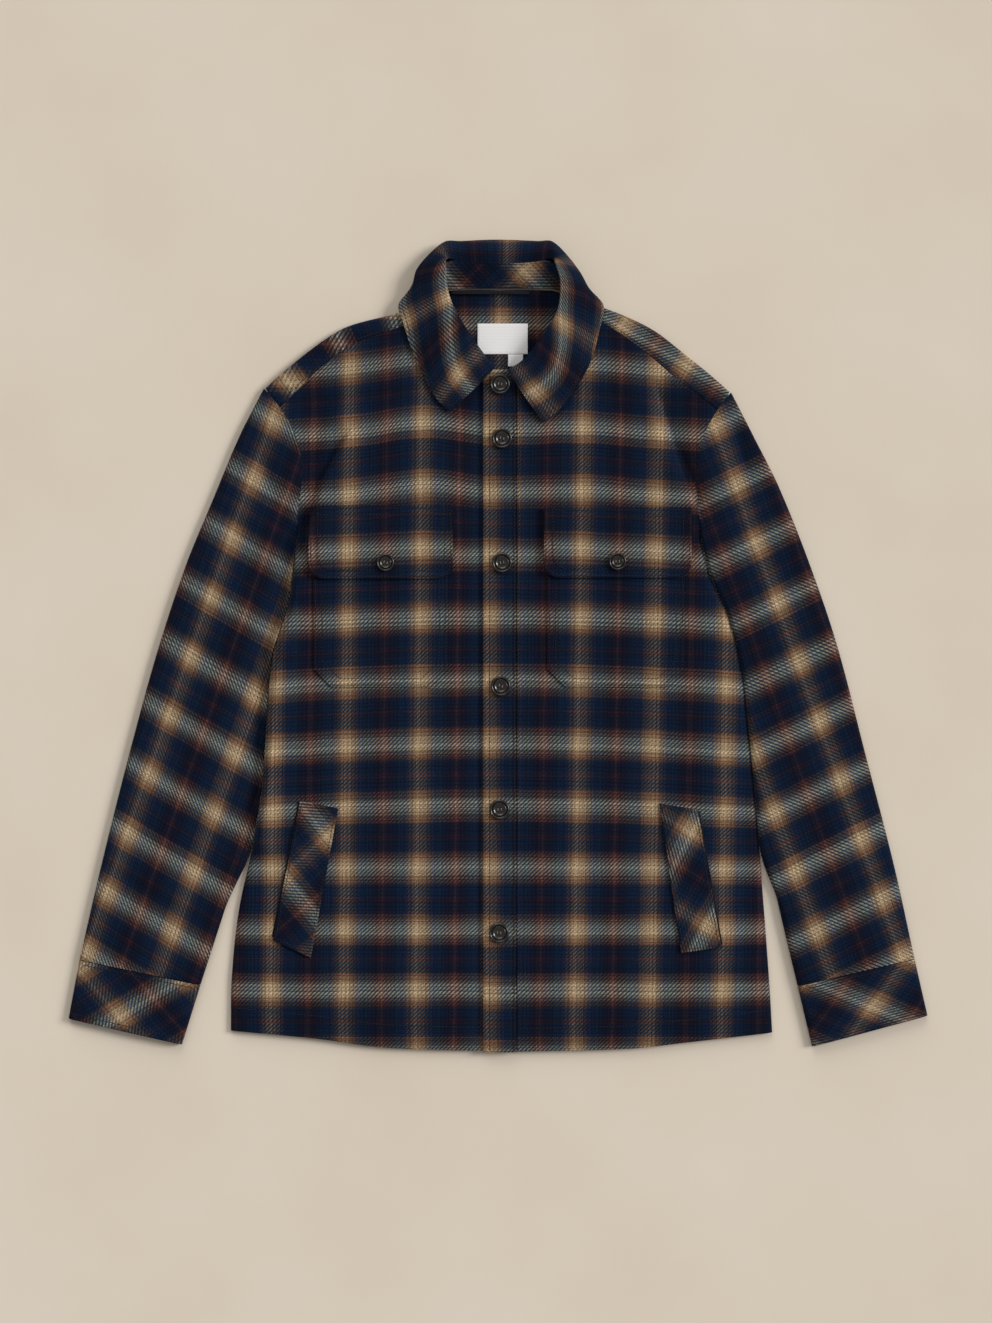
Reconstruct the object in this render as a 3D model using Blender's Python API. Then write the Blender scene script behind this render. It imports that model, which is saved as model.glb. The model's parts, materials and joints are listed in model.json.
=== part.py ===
"""A checked flannel overshirt jacket, buttoned and laid flat with its front up.

Lengths are in millimetres in a flat frame: +X towards the wearer's left sleeve, +Y towards the
collar, +Z up from the surface that the jacket lies on. lay_grid() turns them into metres.
"""

import math
from collections import namedtuple

import bmesh
import bpy
from mathutils import Vector

MM = 0.001
WELD = 1e-6  # metres
CLOTH = 2.6  # wall of flannel
TRIM = 2.0  # flaps and welts
POCKET = 1.2
SEAM = 0.3  # gap that keeps sewn pieces apart
CURVED_SEAM = 0.7  # the same where both edges curve
REST = 0.4  # gap between the back and a front lying on it
LOFT = 3.3  # most that air and bulk lift a front off the back
BACK_INSET = 9.0  # the fronts roll down past the back's side edges
ROLL = 8.0  # width of that roll
ROLL_FOOT = 2.3  # height of the rolled edge's outer line
SLEEVE_HEIGHT = 8.9
CUFF_HEIGHT = 8.4
SHOULDER_HEIGHT = 8.4
HEM_FADE = 45.0
SIDE_FADE = 60.0
TOUCH = 1.2  # sleeve to body where they lie side by side

PLACKET_LEFT, PLACKET_RIGHT = -15.0, 19.0
PLACKET_TOP, PLACKET_FOOT = 276.0, -405.4
PLACKET_STEP = CLOTH + SEAM  # the placket lies on the wearer's right front
PLACKET_FACE = 2 * CLOTH + REST + PLACKET_STEP  # height of its upper face
PLACKET_CLOTH, PLACKET_EDGE_DROP = 2.0, 0.5
YOKE_SEAM_AT = 0.5  # where the back yoke seam meets the armhole, from its top
FORWARD_SEAM_AT = 0.17  # where the forward shoulder seam meets it
ARMHOLE_RUN = 145.0  # length of an armhole, laid flat
SIDE_SHARE = 0.74  # share of a panel's rows beside the side seam, the rest beside the armhole
CENTRE_SHARE = 0.78  # the same beside the centre edge, the rest beside the neckline

# Each side's edges, as x, y from hem to underarm. "right" is the wearer's right, at -X.
Edge = namedtuple("Edge", "x y")
SIDE_EDGE = {
    "right": [Edge(-267, -384), Edge(-266, -330), Edge(-259, -264), Edge(-246, -204), Edge(-236, -144),
              Edge(-229, -41), Edge(-225, -8), Edge(-210, 39), Edge(-203, 87), Edge(-199, 127)],
    "left": [Edge(274, -386), Edge(271, -335), Edge(265, -254), Edge(257, -154), Edge(245, -31),
             Edge(238, 4), Edge(228, 36), Edge(212, 70), Edge(203, 106), Edge(199, 133)],
}
HEM = {
    "right": [Edge(-267, -384), Edge(-182, -392), Edge(-112, -401), Edge(PLACKET_RIGHT, -405)],
    "left": [Edge(274, -386), Edge(187, -396), Edge(132, -402), Edge(PLACKET_RIGHT, -405)],
}
# Shoulder folds from the armhole to the neck: the outline of the fold and the forward seam.
Shoulder = namedtuple("Shoulder", "fold_x fold_y seam_x seam_y")
SHOULDER = {
    "right": [Shoulder(-232.4, 257.4, -217, 238), Shoulder(-208, 279, -196, 259),
              Shoulder(-177, 303, -167, 286), Shoulder(-150, 319, -142, 302),
              Shoulder(-98, 333, -95, 319), Shoulder(-63, 346, -61, 333)],
    "left": [Shoulder(231.4, 253.4, 217.5, 235), Shoulder(214, 269, 200, 250),
             Shoulder(188, 290, 174, 270), Shoulder(154, 316, 142, 297),
             Shoulder(110, 336, 104, 322), Shoulder(67, 348, 65, 335)],
}
NECKLINE = {
    "right": [Edge(-61, 333), Edge(-52, 318), Edge(-36, 293), Edge(-16, 277.5)],
    "left": [Edge(65, 335), Edge(59, 318), Edge(42, 292), Edge(20, 277.5)],
}
BACK_NECK = [Edge(-63, 346), Edge(-55, 353.6), Edge(-36, 355.6), Edge(0, 355.8), Edge(38, 355.6),
             Edge(59, 354), Edge(67, 348)]

# Sleeve rings: outer edge, inner edge and how far the ring bows up its sleeve.
Ring = namedtuple("Ring", "out_x out_y in_x in_y bow")
SLEEVE = {
    "right": [Ring(-234, 257, -200.3, 127, 19.5), Ring(-258, 210, -206, 85, 13),
              Ring(-284, 148, -213, 36, 8), Ring(-312, 80, -229, -12, 5), Ring(-341, -8, -234, -90, 3),
              Ring(-371, -118, -242, -165, 1), Ring(-397, -222, -264, -236, 0),
              Ring(-418, -313, -297, -338, 0)],
    "left": [Ring(233, 253, 200.3, 133, 16), Ring(256, 208, 208, 84, 11), Ring(280, 160, 228, 40, 8),
             Ring(309, 88, 241, -10, 5), Ring(338, 3, 251, -85, 3), Ring(367, -108, 261, -163, 1),
             Ring(396, -221, 277, -245, 0), Ring(416, -312, 299, -339, 0)],
}
SLEEVE_RINGS, CUFF_RINGS = 20, 3
CUFF_END = {"right": Ring(-429, -372, -315.6, -398, 0), "left": Ring(429, -369, 313.6, -400, 0)}
# A flattened tube's section beside either edge: distance in, and heights as shares of the whole.
Step = namedtuple("Step", "inward top under")
TUBE_EDGE = [Step(0.7, 0.63, 0.135), Step(2.5, 0.79, 0), Step(6, 0.88, None), Step(16, 0.96, None)]
TUBE_EDGE_MIDDLE = 0.38
FLAT_FROM = 0.7  # share of a tube's height above which its folds show

# Largest folds: soft troughs (negative) and ridges on the fronts and sleeves.
Fold = namedtuple("Fold", "x0 y0 x1 y1 width height")
FOLDS = [
    Fold(-165, 262, -180, 208, 10, -2.0), Fold(-180, 208, -196, 150, 9, -2.4),
    Fold(-148, 258, -164, 190, 13, 1.3), Fold(155, 256, 172, 205, 8, -1.8),
    Fold(172, 205, 199, 140, 7, -2.6), Fold(146, 250, 178, 160, 11, 1.4),
    Fold(-236, 205, -214, 120, 10, -1.8), Fold(-268, 130, -232, 52, 15, -1.5),
    Fold(236, 222, 250, 165, 9, -2.2), Fold(252, 120, 300, 40, 16, -1.6),
    Fold(-330, -60, -300, -190, 16, -1.3), Fold(330, -70, 312, -200, 16, -1.3),
    Fold(-372, -230, -330, -270, 12, -1.2), Fold(372, -236, 340, -282, 12, -1.2),
]

# Collar stations from the wearer's right front round the back to the left front. seam is the
# stand's foot, roll its top, over the leaf's outline or its fall's middle, free its free edge.
# tuck is 1 where the leaf folds under the stand; short is where the stand stops below the roll.
Station = namedtuple("Station", "tuck short seam roll over free")
COLLAR = [
    Station(0, 5, (-12, 278, 9.4), (-3, 277, 12.4), (-22, 257.5, 13.0), (-48, 233, 11.8)),
    Station(0, 7.5, (-27, 291, 9.4), (-20, 299, 16), (-44, 276, 15.6), (-64, 250, 11.8)),
    Station(0, 7.5, (-46, 319, 9.4), (-38, 326.5, 19), (-63, 307, 17), (-83, 288, 11.8)),
    Station(0, 7.5, (-55, 337, 9.2), (-47, 345, 20.5), (-72, 333, 18), (-94, 320, 12)),
    Station(0, 7.5, (-57, 350, 5.6), (-51, 362, 20.5), (-77, 354, 17.5), (-99, 341, 10)),
    Station(0.5, 6, (-53, 355, 5.2), (-52, 380, 19), (-81, 375, 12), (-84, 356, 4)),
    Station(0.9, 6, (-46, 356.4, 4.6), (-50, 388, 16.5), (-56, 401.5, 10), (-60, 365, 1)),
    Station(1, 1.4, (-30, 356.6, 3.8), (-33, 385, 13.8), (-36, 404, 8), (-34, 366, 0.3)),
    Station(1, 0.6, (0, 356.8, 3.8), (0, 383.5, 13.4), (0, 405.4, 8), (0, 366, 0.3)),
    Station(1, 1.4, (32, 356.6, 3.8), (35, 385, 13.8), (38, 404, 8), (36, 366, 0.3)),
    Station(0.9, 6, (50, 356.4, 4.6), (53, 388, 16.5), (57, 401.5, 10), (64, 365, 1)),
    Station(0.5, 6, (58, 355, 5.2), (58, 379, 19), (82, 372, 12), (88, 355, 4)),
    Station(0, 7.5, (63, 350, 5.6), (62, 360, 20.5), (86, 352, 17.5), (105, 340, 10.2)),
    Station(0, 7.5, (64, 340, 9.2), (59, 334, 20.5), (82, 324, 18), (101, 314, 12)),
    Station(0, 7.5, (54, 305, 9.4), (47, 313, 19), (70, 297, 17), (91, 280, 11.8)),
    Station(0, 7.5, (35, 279, 9.4), (27, 287, 16), (48, 264, 15.6), (69, 244, 11.8)),
    Station(0, 5, (19, 270, 9.4), (9, 275, 12.4), (24, 252, 13.0), (45, 222, 11.8)),
]
COLLAR_CLOTH = 2.4
STAND_CLOTH = 2.0
CROWN_FLAT, CROWN_TUCKED = 1.6, 4.6

# Chest pockets and flaps: edges, lower corner cut or round.
Patch = namedtuple("Patch", "x0 x1 top foot corner")
CHEST_POCKET = {"right": Patch(-184, -50, 135, -41, 18), "left": Patch(49, 186, 135, -41, 18)}
CHEST_FLAP = {"right": Patch(-188, -45, 140, 67, 15), "left": Patch(46, 193, 138, 68, 15)}
# Hip pocket welts: their four corners, from the top outer one round.
WELT = {
    "right": [Edge(-197.4, -154), Edge(-159.3, -162), Edge(-186.5, -311), Edge(-224.7, -293)],
    "left": [Edge(199.2, -163), Edge(161, -157), Edge(182.3, -306), Edge(222.8, -300.5)],
}
FRONT_BUTTONS = [Edge(2, 261), Edge(4, 207), Edge(4, 83), Edge(2.7, -40), Edge(1.6, -163), Edge(1, -286)]
POCKET_BUTTONS = {"right": Edge(-112, 83), "left": Edge(119, 84)}
FRONT_BUTTON, POCKET_BUTTON = 20.0, 17.5  # diameters
BUTTON_PROFILE = [(0.0, 1.9), (0.55, 1.9), (0.72, 2.9), (0.84, 3.2), (0.96, 2.6), (1.0, 1.5), (0.86, 0.3),
                  (0.0, 0.0)]  # share of the radius, height
LABEL = Patch(-20.5, 29.7, 322, 291.5, 0)
SIZE_TAB = Patch(10, 25, 291.2, 279, 0)
LABEL_CLOTH = 0.8
LOOP = Patch(-47, 31, 354.6, 351.0, 0)
LOOP_CLOTH, LOOP_ARCH = 1.4, 1.6

FLANNEL = (0.030, 0.036, 0.050)
FLANNEL_BIAS = (0.050, 0.045, 0.045)
BUTTON_BROWN = (0.012, 0.010, 0.009)
LABEL_WHITE = (0.75, 0.74, 0.71)


def smooth(t):
    t = min(1.0, max(0.0, t))
    return t * t * (3 - 2 * t)


def lerp(a, b, t):
    return a + (b - a) * t


def along(points, t):
    """The point at t, 0 to 1 by chord length, on a smooth curve through the points."""
    points = [Vector(p) for p in points]
    at = [0.0]
    for a, b in zip(points, points[1:]):
        at.append(at[-1] + max((b - a).length, 1e-6))
    here = min(1.0, max(0.0, t)) * at[-1]
    i = max(k for k in range(len(points) - 1) if at[k] <= here + 1e-9)

    def slope(k):
        low, high = max(0, k - 1), min(len(points) - 1, k + 1)
        return (points[high] - points[low]) / (at[high] - at[low])

    span = at[i + 1] - at[i]
    s = (here - at[i]) / span
    return (points[i] * (2 * s**3 - 3 * s**2 + 1) + points[i + 1] * (3 * s**2 - 2 * s**3)
            + (slope(i) * (s**3 - 2 * s**2 + s) + slope(i + 1) * (s**3 - s**2)) * span)


def across(points, value, axis):
    """The other coordinate where a curve that runs along one axis (0 is x, 1 is y) has this value."""
    rows = sorted(points, key=lambda p: p[axis])
    for a, b in zip(rows, rows[1:]):
        if value <= b[axis] or b is rows[-1]:
            t = (value - a[axis]) / (b[axis] - a[axis])
            return lerp(a[1 - axis], b[1 - axis], min(1.0, max(0.0, t)))


def fold_height(x, y):
    total = 0.0
    for fold in FOLDS:
        start = Vector((fold.x0, fold.y0))
        run = Vector((fold.x1, fold.y1)) - start
        away = Vector((x, y)) - start
        t = away.dot(run) / run.length_squared
        off = (away - run * t).length / fold.width
        total += fold.height * math.exp(-off * off) * smooth((t + 0.25) / 0.4) * smooth((1.25 - t) / 0.4)
    return total


def front_top(x, y, side):
    """Height of the upper face of a front that lies on the back."""
    edge = SIDE_EDGE[side]
    inward = abs(across(edge, y, 1)) - abs(x)
    above_hem = y - across(HEM[side], x, 0)
    loft = LOFT * smooth((above_hem + 8) / HEM_FADE)
    if side == "right":
        loft *= smooth((PLACKET_LEFT - 8 - x) / 40)
    else:
        loft = lerp(min(loft, PLACKET_STEP), loft, smooth((x - PLACKET_RIGHT) / 60))
    below_arm = smooth((edge[-1].y - y) / 40)
    loft *= lerp(1.0, smooth((inward + 6) / SIDE_FADE), below_arm)
    top = 2 * CLOTH + REST + loft + fold_height(x, y) * smooth(loft / LOFT)
    if inward < ROLL:
        bend = 1 - math.sqrt(max(0.0, 1 - (1 - max(0.0, inward) / ROLL) ** 2))
        top -= (top - ROLL_FOOT) * bend * smooth((edge[-1].y - 4 - y) / 25)
    return top


def armhole(side, w, inward=0.0):
    """Point on an armhole, from the shoulder (w 0) to the underarm (w 1), moved towards the body."""
    point = ring_point(SLEEVE[side][0], w)
    return point + Vector((inward if side == "right" else -inward, 0))


def ring_point(ring, w):
    out, inner = Vector((ring.out_x, ring.out_y)), Vector((ring.in_x, ring.in_y))
    chord = inner - out
    up = Vector((-chord.y, chord.x)) if out.x < 0 else Vector((chord.y, -chord.x))
    return out + chord * w + up.normalized() * ring.bow * 4 * w * (1 - w)


def material(name, colour, roughness):
    made = bpy.data.materials.new(name)
    made.use_nodes = True
    shader = made.node_tree.nodes["Principled BSDF"]
    shader.inputs["Base Color"].default_value = (*colour, 1)
    shader.inputs["Roughness"].default_value = roughness
    made.diffuse_color = (*colour, 1)
    return made


def finish(name, mesh, colour, roughness=0.9):
    data = bpy.data.meshes.new(name)
    mesh.to_mesh(data)
    mesh.free()
    made = bpy.data.objects.new(name, data)
    bpy.context.collection.objects.link(made)
    data.materials.append(material(name, colour, roughness))
    data.shade_smooth()
    return made


def lay_grid(mesh, columns, rows, place):
    """Add a grid to a mesh, with its points at place(u, v) for each column's u and row's v."""
    across_count, up_count = len(columns) - 1, len(rows) - 1
    made = bmesh.ops.create_grid(mesh, x_segments=across_count, y_segments=up_count, size=0.5)
    for vert in made["verts"]:
        u = columns[round((vert.co.x + 0.5) * across_count)]
        v = rows[round((vert.co.y + 0.5) * up_count)]
        vert.co = Vector(place(u, v)) * MM


def cloth(name, columns, rows, place, wall, colour=FLANNEL, closed=False):
    """A wall whose outer face is a grid with its points at place(u, v), thickened inwards."""
    mesh = bmesh.new()
    lay_grid(mesh, columns, rows, place)
    if closed:
        bmesh.ops.remove_doubles(mesh, verts=mesh.verts, dist=WELD)
        bmesh.ops.recalc_face_normals(mesh, faces=mesh.faces)
    else:
        turn_up(mesh)
    return thicken(finish(name, mesh, colour), wall)


def turn_up(mesh):
    """Turn an open sheet so that most of it faces up."""
    mesh.normal_update()
    if sum(face.normal.z * face.calc_area() for face in mesh.faces) < 0:
        bmesh.ops.reverse_faces(mesh, faces=mesh.faces)


def thicken(made, wall):
    solid = made.modifiers.new("wall", "SOLIDIFY")
    solid.thickness = wall * MM
    solid.offset = -1
    solid.use_quality_normals = True
    return made


def even(count):
    return [i / count for i in range(count + 1)]


def coons(foot, top, start, end):
    """A point function filling four edge curves: foot and top run with u, start and end with v."""

    def point(u, v):
        ruled = lerp(foot(u), top(u), v) + lerp(start(v), end(v), u)
        corners = lerp(lerp(foot(0), foot(1), u), lerp(top(0), top(1), u), v)
        return ruled - corners

    return point


def joined(*runs):
    """One curve from several (curve, share) runs, each a function of 0 to 1."""

    def point(t):
        for curve, share in runs[:-1]:
            if t < share:
                return curve(t / share)
            t -= share
        curve, share = runs[-1]
        return curve(min(1.0, t / share))

    return point


def outer_edge(side, top_at, inset):
    """Hem corner to underarm to a point on the armhole."""
    sign = 1 if side == "right" else -1
    seam_side = [(x + sign * inset, y) for x, y in SIDE_EDGE[side]]
    return joined((lambda t: along(seam_side, t), SIDE_SHARE),
                  (lambda t: armhole(side, lerp(1.0, top_at, t), CURVED_SEAM), 1 - SIDE_SHARE))


def make_back():
    """The back, a flat panel from the hem to the yoke seam."""
    half = {side: [outer_edge(side, YOKE_SEAM_AT, BACK_INSET)(t) for t in even(16)] for side in SIDE_EDGE}
    hem = [along(HEM["right"], t) for t in even(6)][1:] + [along(HEM["left"], 1 - t) for t in even(6)][1:-1]
    outline = half["right"][::-1] + [p + Vector((0, 1)) for p in hem] + half["left"]
    mesh = bmesh.new()
    floor = mesh.faces.new([mesh.verts.new((p.x * MM, p.y * MM, 0)) for p in outline])
    floor.normal_update()
    if floor.normal.z > 0:
        floor.normal_flip()
    raised = bmesh.ops.extrude_face_region(mesh, geom=[floor])["geom"]
    bmesh.ops.translate(mesh, vec=(0, 0, CLOTH * MM),
                        verts=[part for part in raised if isinstance(part, bmesh.types.BMVert)])
    bmesh.ops.recalc_face_normals(mesh, faces=mesh.faces)
    return finish("back", mesh, FLANNEL)


def shoulder_fold(side, t):
    return along([(row.fold_x, row.fold_y) for row in SHOULDER[side]], t)


def forward_seam(side, t, front_gap=0.0):
    """The seam from the armhole to the neck, moved down into the front by front_gap."""
    at_arm = armhole(side, FORWARD_SEAM_AT + front_gap / ARMHOLE_RUN, CURVED_SEAM)
    rest = [(row.seam_x, row.seam_y - front_gap) for row in SHOULDER[side][1:]]
    return along([at_arm] + rest, t)


def make_yoke():
    """The yoke: flat under the shoulders, folded over them to the forward seams."""
    wing, neck = 9, 8
    radius = SHOULDER_HEIGHT / 2
    mesh = bmesh.new()
    columns = [("right", t) for t in even(wing)] + [("neck", t) for t in even(neck)][1:-1]
    columns += [("left", 1 - t) for t in even(wing)]
    width = len(columns) - 1
    seam = [armhole(side, YOKE_SEAM_AT, CURVED_SEAM) for side in ("right", "left")]

    def rim(run, t):
        if run == "neck":
            return along(BACK_NECK, t)
        inward = forward_seam(run, t) - shoulder_fold(run, t)
        return shoulder_fold(run, t) + inward.normalized() * radius

    def arm_end(side, v):
        point = armhole(side, lerp(YOKE_SEAM_AT, 0, v), CURVED_SEAM)
        return point + (rim(side, 0) - armhole(side, 0, CURVED_SEAM)) * v**4 + Vector((0, SEAM * (1 - v)))

    plate = coons(lambda u: lerp(seam[0], seam[1], u) + Vector((0, SEAM)),
                  lambda u: rim(*columns[round(u * width)]),
                  lambda v: arm_end("right", v),
                  lambda v: arm_end("left", v))

    def flat(u, v):
        point = rim(*columns[round(u * width)]) if v == 1 else plate(u, v)
        return Vector((point.x, point.y, 0))

    def over(side):
        def place(u, v):
            fold, seam_line = shoulder_fold(side, u), forward_seam(side, u)
            inward = (seam_line - fold).normalized()
            if v > 0.7:
                point = lerp(fold + inward * radius, seam_line, (v - 0.7) / 0.3)
                return Vector((point.x, point.y, SHOULDER_HEIGHT))
            turn = math.pi * v / 0.7
            point = fold + inward * radius * (1 - math.sin(turn))
            return Vector((point.x, point.y, radius * (1 - math.cos(turn))))

        return place

    lay_grid(mesh, even(width), even(7), flat)
    for side in SHOULDER:
        lay_grid(mesh, even(wing), [0, 0.175, 0.35, 0.525, 0.7, 0.85, 1], over(side))
    bmesh.ops.remove_doubles(mesh, verts=mesh.verts, dist=WELD)
    bmesh.ops.recalc_face_normals(mesh, faces=mesh.faces)
    lowest = min(mesh.faces, key=lambda face: face.calc_center_median().z)
    if lowest.normal.z > 0:
        bmesh.ops.reverse_faces(mesh, faces=mesh.faces)
    return thicken(finish("yoke", mesh, FLANNEL), CLOTH)


def make_front(side):
    """One front: hem, side seam and armhole, forward seam, neckline and its centre edge."""
    meet = PLACKET_RIGHT - SEAM if side == "right" else PLACKET_RIGHT + SEAM
    hem = [(x, y) for x, y in HEM[side][:-1]] + [(meet, HEM[side][-1].y)]
    neck = [(x, y) for x, y in NECKLINE[side]]
    seam_gap = Vector((0, -CURVED_SEAM))
    if side == "right":
        neck = neck[:-1] + [(-16, 277.5), (meet, 276)]
    else:
        neck = neck[:-1] + [(meet, 277)]
    centre = joined((lambda t: Vector((meet, lerp(hem[-1][1], neck[-1][1], t))), CENTRE_SHARE),
                    (lambda t: along(neck[::-1], t) + seam_gap * t, 1 - CENTRE_SHARE))
    patch = coons(lambda u: along(hem, u),
                  lambda u: forward_seam(side, u, CURVED_SEAM),
                  outer_edge(side, FORWARD_SEAM_AT + CURVED_SEAM / ARMHOLE_RUN, 0), centre)
    columns = [0, 0.003, 0.010, 0.022, 0.04, 0.09, 0.16, 0.25, 0.36, 0.48, 0.6, 0.72, 0.84, 0.93, 1]

    def place(u, v):
        point = patch(u, v)
        return Vector((point.x, point.y, front_top(point.x, point.y, side)))

    return cloth(f"front_{side}", columns, even(26), place, CLOTH)


def make_placket():
    """The buttoned strip on the wearer's left front, lying over the right one."""
    def place(u, v):
        x = lerp(PLACKET_LEFT, PLACKET_RIGHT - SEAM, u)
        y = lerp(PLACKET_FOOT, PLACKET_TOP, v)
        return Vector((x, y, PLACKET_FACE - PLACKET_EDGE_DROP * (2 * u - 1) ** 4))

    return cloth("placket", [0, 0.08, 0.5, 0.92, 1], even(12), place, PLACKET_CLOTH)


def tube_loop(width, height):
    """(distance from the outer edge, height) round a flattened tube's section."""
    near = [(step.inward, step.top * height) for step in TUBE_EDGE]
    far = [(width - inward, z) for inward, z in reversed(near)]
    middle = [(width * share, height) for share in (0.35, 0.5, 0.65)]
    under = [(step.inward, step.under * height) for step in TUBE_EDGE if step.under is not None]
    back = [(width - inward, z) for inward, z in under] + [(width * 0.6, 0), (width * 0.4, 0)]
    edge = TUBE_EDGE_MIDDLE * height
    loop = [(0, edge)] + near + middle + far + [(width, edge)] + back + under[::-1]
    return loop + [loop[0]]


TUBE_POINTS = len(tube_loop(100, 1)) - 1


def tube(name, ring_at, height, rings, colour=FLANNEL):
    def place(u, v):
        ring = ring_at(v)
        width = math.dist((ring.out_x, ring.out_y), (ring.in_x, ring.in_y))
        inward, z = tube_loop(width, height)[round(u * TUBE_POINTS)]
        point = ring_point(ring, inward / width)
        z += fold_height(point.x, point.y) * smooth((z / height - FLAT_FROM) / (1 - FLAT_FROM))
        return Vector((point.x, point.y, z))

    return cloth(name, even(TUBE_POINTS), even(rings), place, CLOTH, colour, closed=True)


def sleeve_ring(side, v):
    rows = SLEEVE[side]
    outer = along([(row.out_x, row.out_y) for row in rows], v)
    inner = along([(row.in_x, row.in_y) for row in rows], v)
    bow = along([(i / (len(rows) - 1) * 100, row.bow) for i, row in enumerate(rows)], v).y
    beside = across(SIDE_EDGE[side], inner.y, 1)
    clear = min(inner.x, beside - TOUCH) if side == "right" else max(inner.x, beside + TOUCH)
    return Ring(outer.x, outer.y, clear, inner.y, bow)


def make_sleeve(side):
    return tube(f"sleeve_{side}", lambda v: sleeve_ring(side, v), SLEEVE_HEIGHT, SLEEVE_RINGS)


def make_cuff(side):
    last, end = sleeve_ring(side, 1), CUFF_END[side]
    depth = math.dist((last.out_x, last.out_y), (end.out_x, end.out_y))

    def ring_at(v):
        share = lerp(2 * SEAM / depth, 1, v)
        return Ring(*(lerp(a, b, share) for a, b in zip(last, end)))

    return tube(f"cuff_{side}", ring_at, CUFF_HEIGHT, CUFF_RINGS, FLANNEL_BIAS)


def at_station(column, share):
    """A column of the collar table at a share of its stations, smoothed between rows."""
    place = share * (len(COLLAR) - 1)
    i = min(len(COLLAR) - 2, int(place))
    s = place - i

    def row(k):
        value = getattr(COLLAR[min(len(COLLAR) - 1, max(0, k))], column)
        return Vector(value) if isinstance(value, tuple) else value

    a, b, c, d = (row(i + k) for k in (-1, 0, 1, 2))
    return (b * 2 + (c - a) * s + (a * 2 - b * 5 + c * 4 - d) * s**2 + (b * 3 - c * 3 + d - a) * s**3) * 0.5


def leaf_point(u, v):
    tuck = min(1.0, max(0.0, at_station("tuck", u)))
    roll, over, free = (at_station(column, u) for column in ("roll", "over", "free"))
    crown = lerp(roll, over, 0.5) + Vector((0, 0, lerp(CROWN_FLAT, CROWN_TUCKED, tuck)))
    under = lerp(over, free, 0.5 - 0.25 * tuck)
    under.z = lerp(under.z + 0.8, free.z + 0.3, tuck)
    point = along([roll, crown, over, under, free], v)
    return Vector((point.x, point.y, max(point.z, SEAM)))


def make_collar():
    """The collar: a stand round the neck and the leaf that rolls over it."""
    columns = even(44)
    cloth("collar_leaf", columns, even(8), leaf_point, COLLAR_CLOTH)

    def stand(u, v):
        share = lerp(0.07, 0.93, u)
        seam, roll = at_station("seam", share), at_station("roll", share)
        top = roll - (roll - seam).normalized() * at_station("short", share)
        return lerp(seam, top, v)

    cloth("collar_stand", even(34), even(3), stand, STAND_CLOTH, FLANNEL_BIAS)


def on_front(name, side, edges, columns, rows, lift, wall, colour=FLANNEL):
    """A piece lying on a front: its points are the front's own, moved out."""
    def place(u, v):
        point = edges(u, v)
        return Vector((point.x, point.y, front_top(point.x, point.y, side) + lift + wall))

    return cloth(name, columns, rows, place, wall, colour)


def patch_edges(patch, cut):
    def point(u, v):
        x = lerp(patch.x0, patch.x1, u)
        from_side = min(x - patch.x0, patch.x1 - x)
        foot = patch.foot + cut(from_side, patch.corner)
        return Vector((x, lerp(patch.top, foot, v)))

    return point


def chamfer(from_side, size):
    return max(0.0, size - from_side)


def rounded(from_side, size):
    away = max(0.0, 1 - from_side / size)
    return size * (1 - math.sqrt(1 - away * away))


def make_pockets(side):
    pocket, flap, welt = CHEST_POCKET[side], CHEST_FLAP[side], WELT[side]
    cut = pocket.corner / (pocket.x1 - pocket.x0)
    spread = [0, cut, 0.3, 0.5, 0.7, 1 - cut, 1]
    on_front(f"chest_pocket_{side}", side, patch_edges(pocket, chamfer), spread, even(8), 2 * SEAM, POCKET)
    turn = flap.corner / (flap.x1 - flap.x0)
    spread = [0, turn * 0.12, turn * 0.4, turn, 0.3, 0.5, 0.7, 1 - turn, 1 - turn * 0.4, 1 - turn * 0.12, 1]
    on_front(f"chest_flap_{side}", side, patch_edges(flap, rounded), spread, even(5), 4 * SEAM + POCKET, TRIM)
    corners = [Vector(corner) for corner in welt]

    def welt_point(u, v):
        return lerp(lerp(corners[0], corners[1], u), lerp(corners[3], corners[2], u), v)

    on_front(f"hip_welt_{side}", side, welt_point, even(2), even(7), SEAM, TRIM, FLANNEL_BIAS)


def make_button(name, place, diameter, seat):
    """A turned button: a dish inside a round rim."""
    mesh = bmesh.new()
    radius = diameter / 2
    verts = [mesh.verts.new((share * radius * MM, 0, z * MM)) for share, z in BUTTON_PROFILE]
    edges = [mesh.edges.new(pair) for pair in zip(verts, verts[1:])]
    bmesh.ops.spin(mesh, geom=verts + edges, cent=(0, 0, 0), axis=(0, 0, 1), angle=2 * math.pi, steps=16,
                   use_merge=True)
    bmesh.ops.remove_doubles(mesh, verts=mesh.verts, dist=WELD)
    bmesh.ops.recalc_face_normals(mesh, faces=mesh.faces)
    made = finish(name, mesh, BUTTON_BROWN, 0.45)
    made.location = Vector((place.x, place.y, seat)) * MM


def make_buttons():
    for i, place in enumerate(FRONT_BUTTONS, 1):
        make_button(f"front_button_{i}", place, FRONT_BUTTON, PLACKET_FACE + SEAM)
    for side, place in POCKET_BUTTONS.items():
        seat = front_top(place.x, place.y, side) + 5 * SEAM + POCKET + TRIM
        make_button(f"pocket_button_{side}", place, POCKET_BUTTON, seat)


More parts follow.
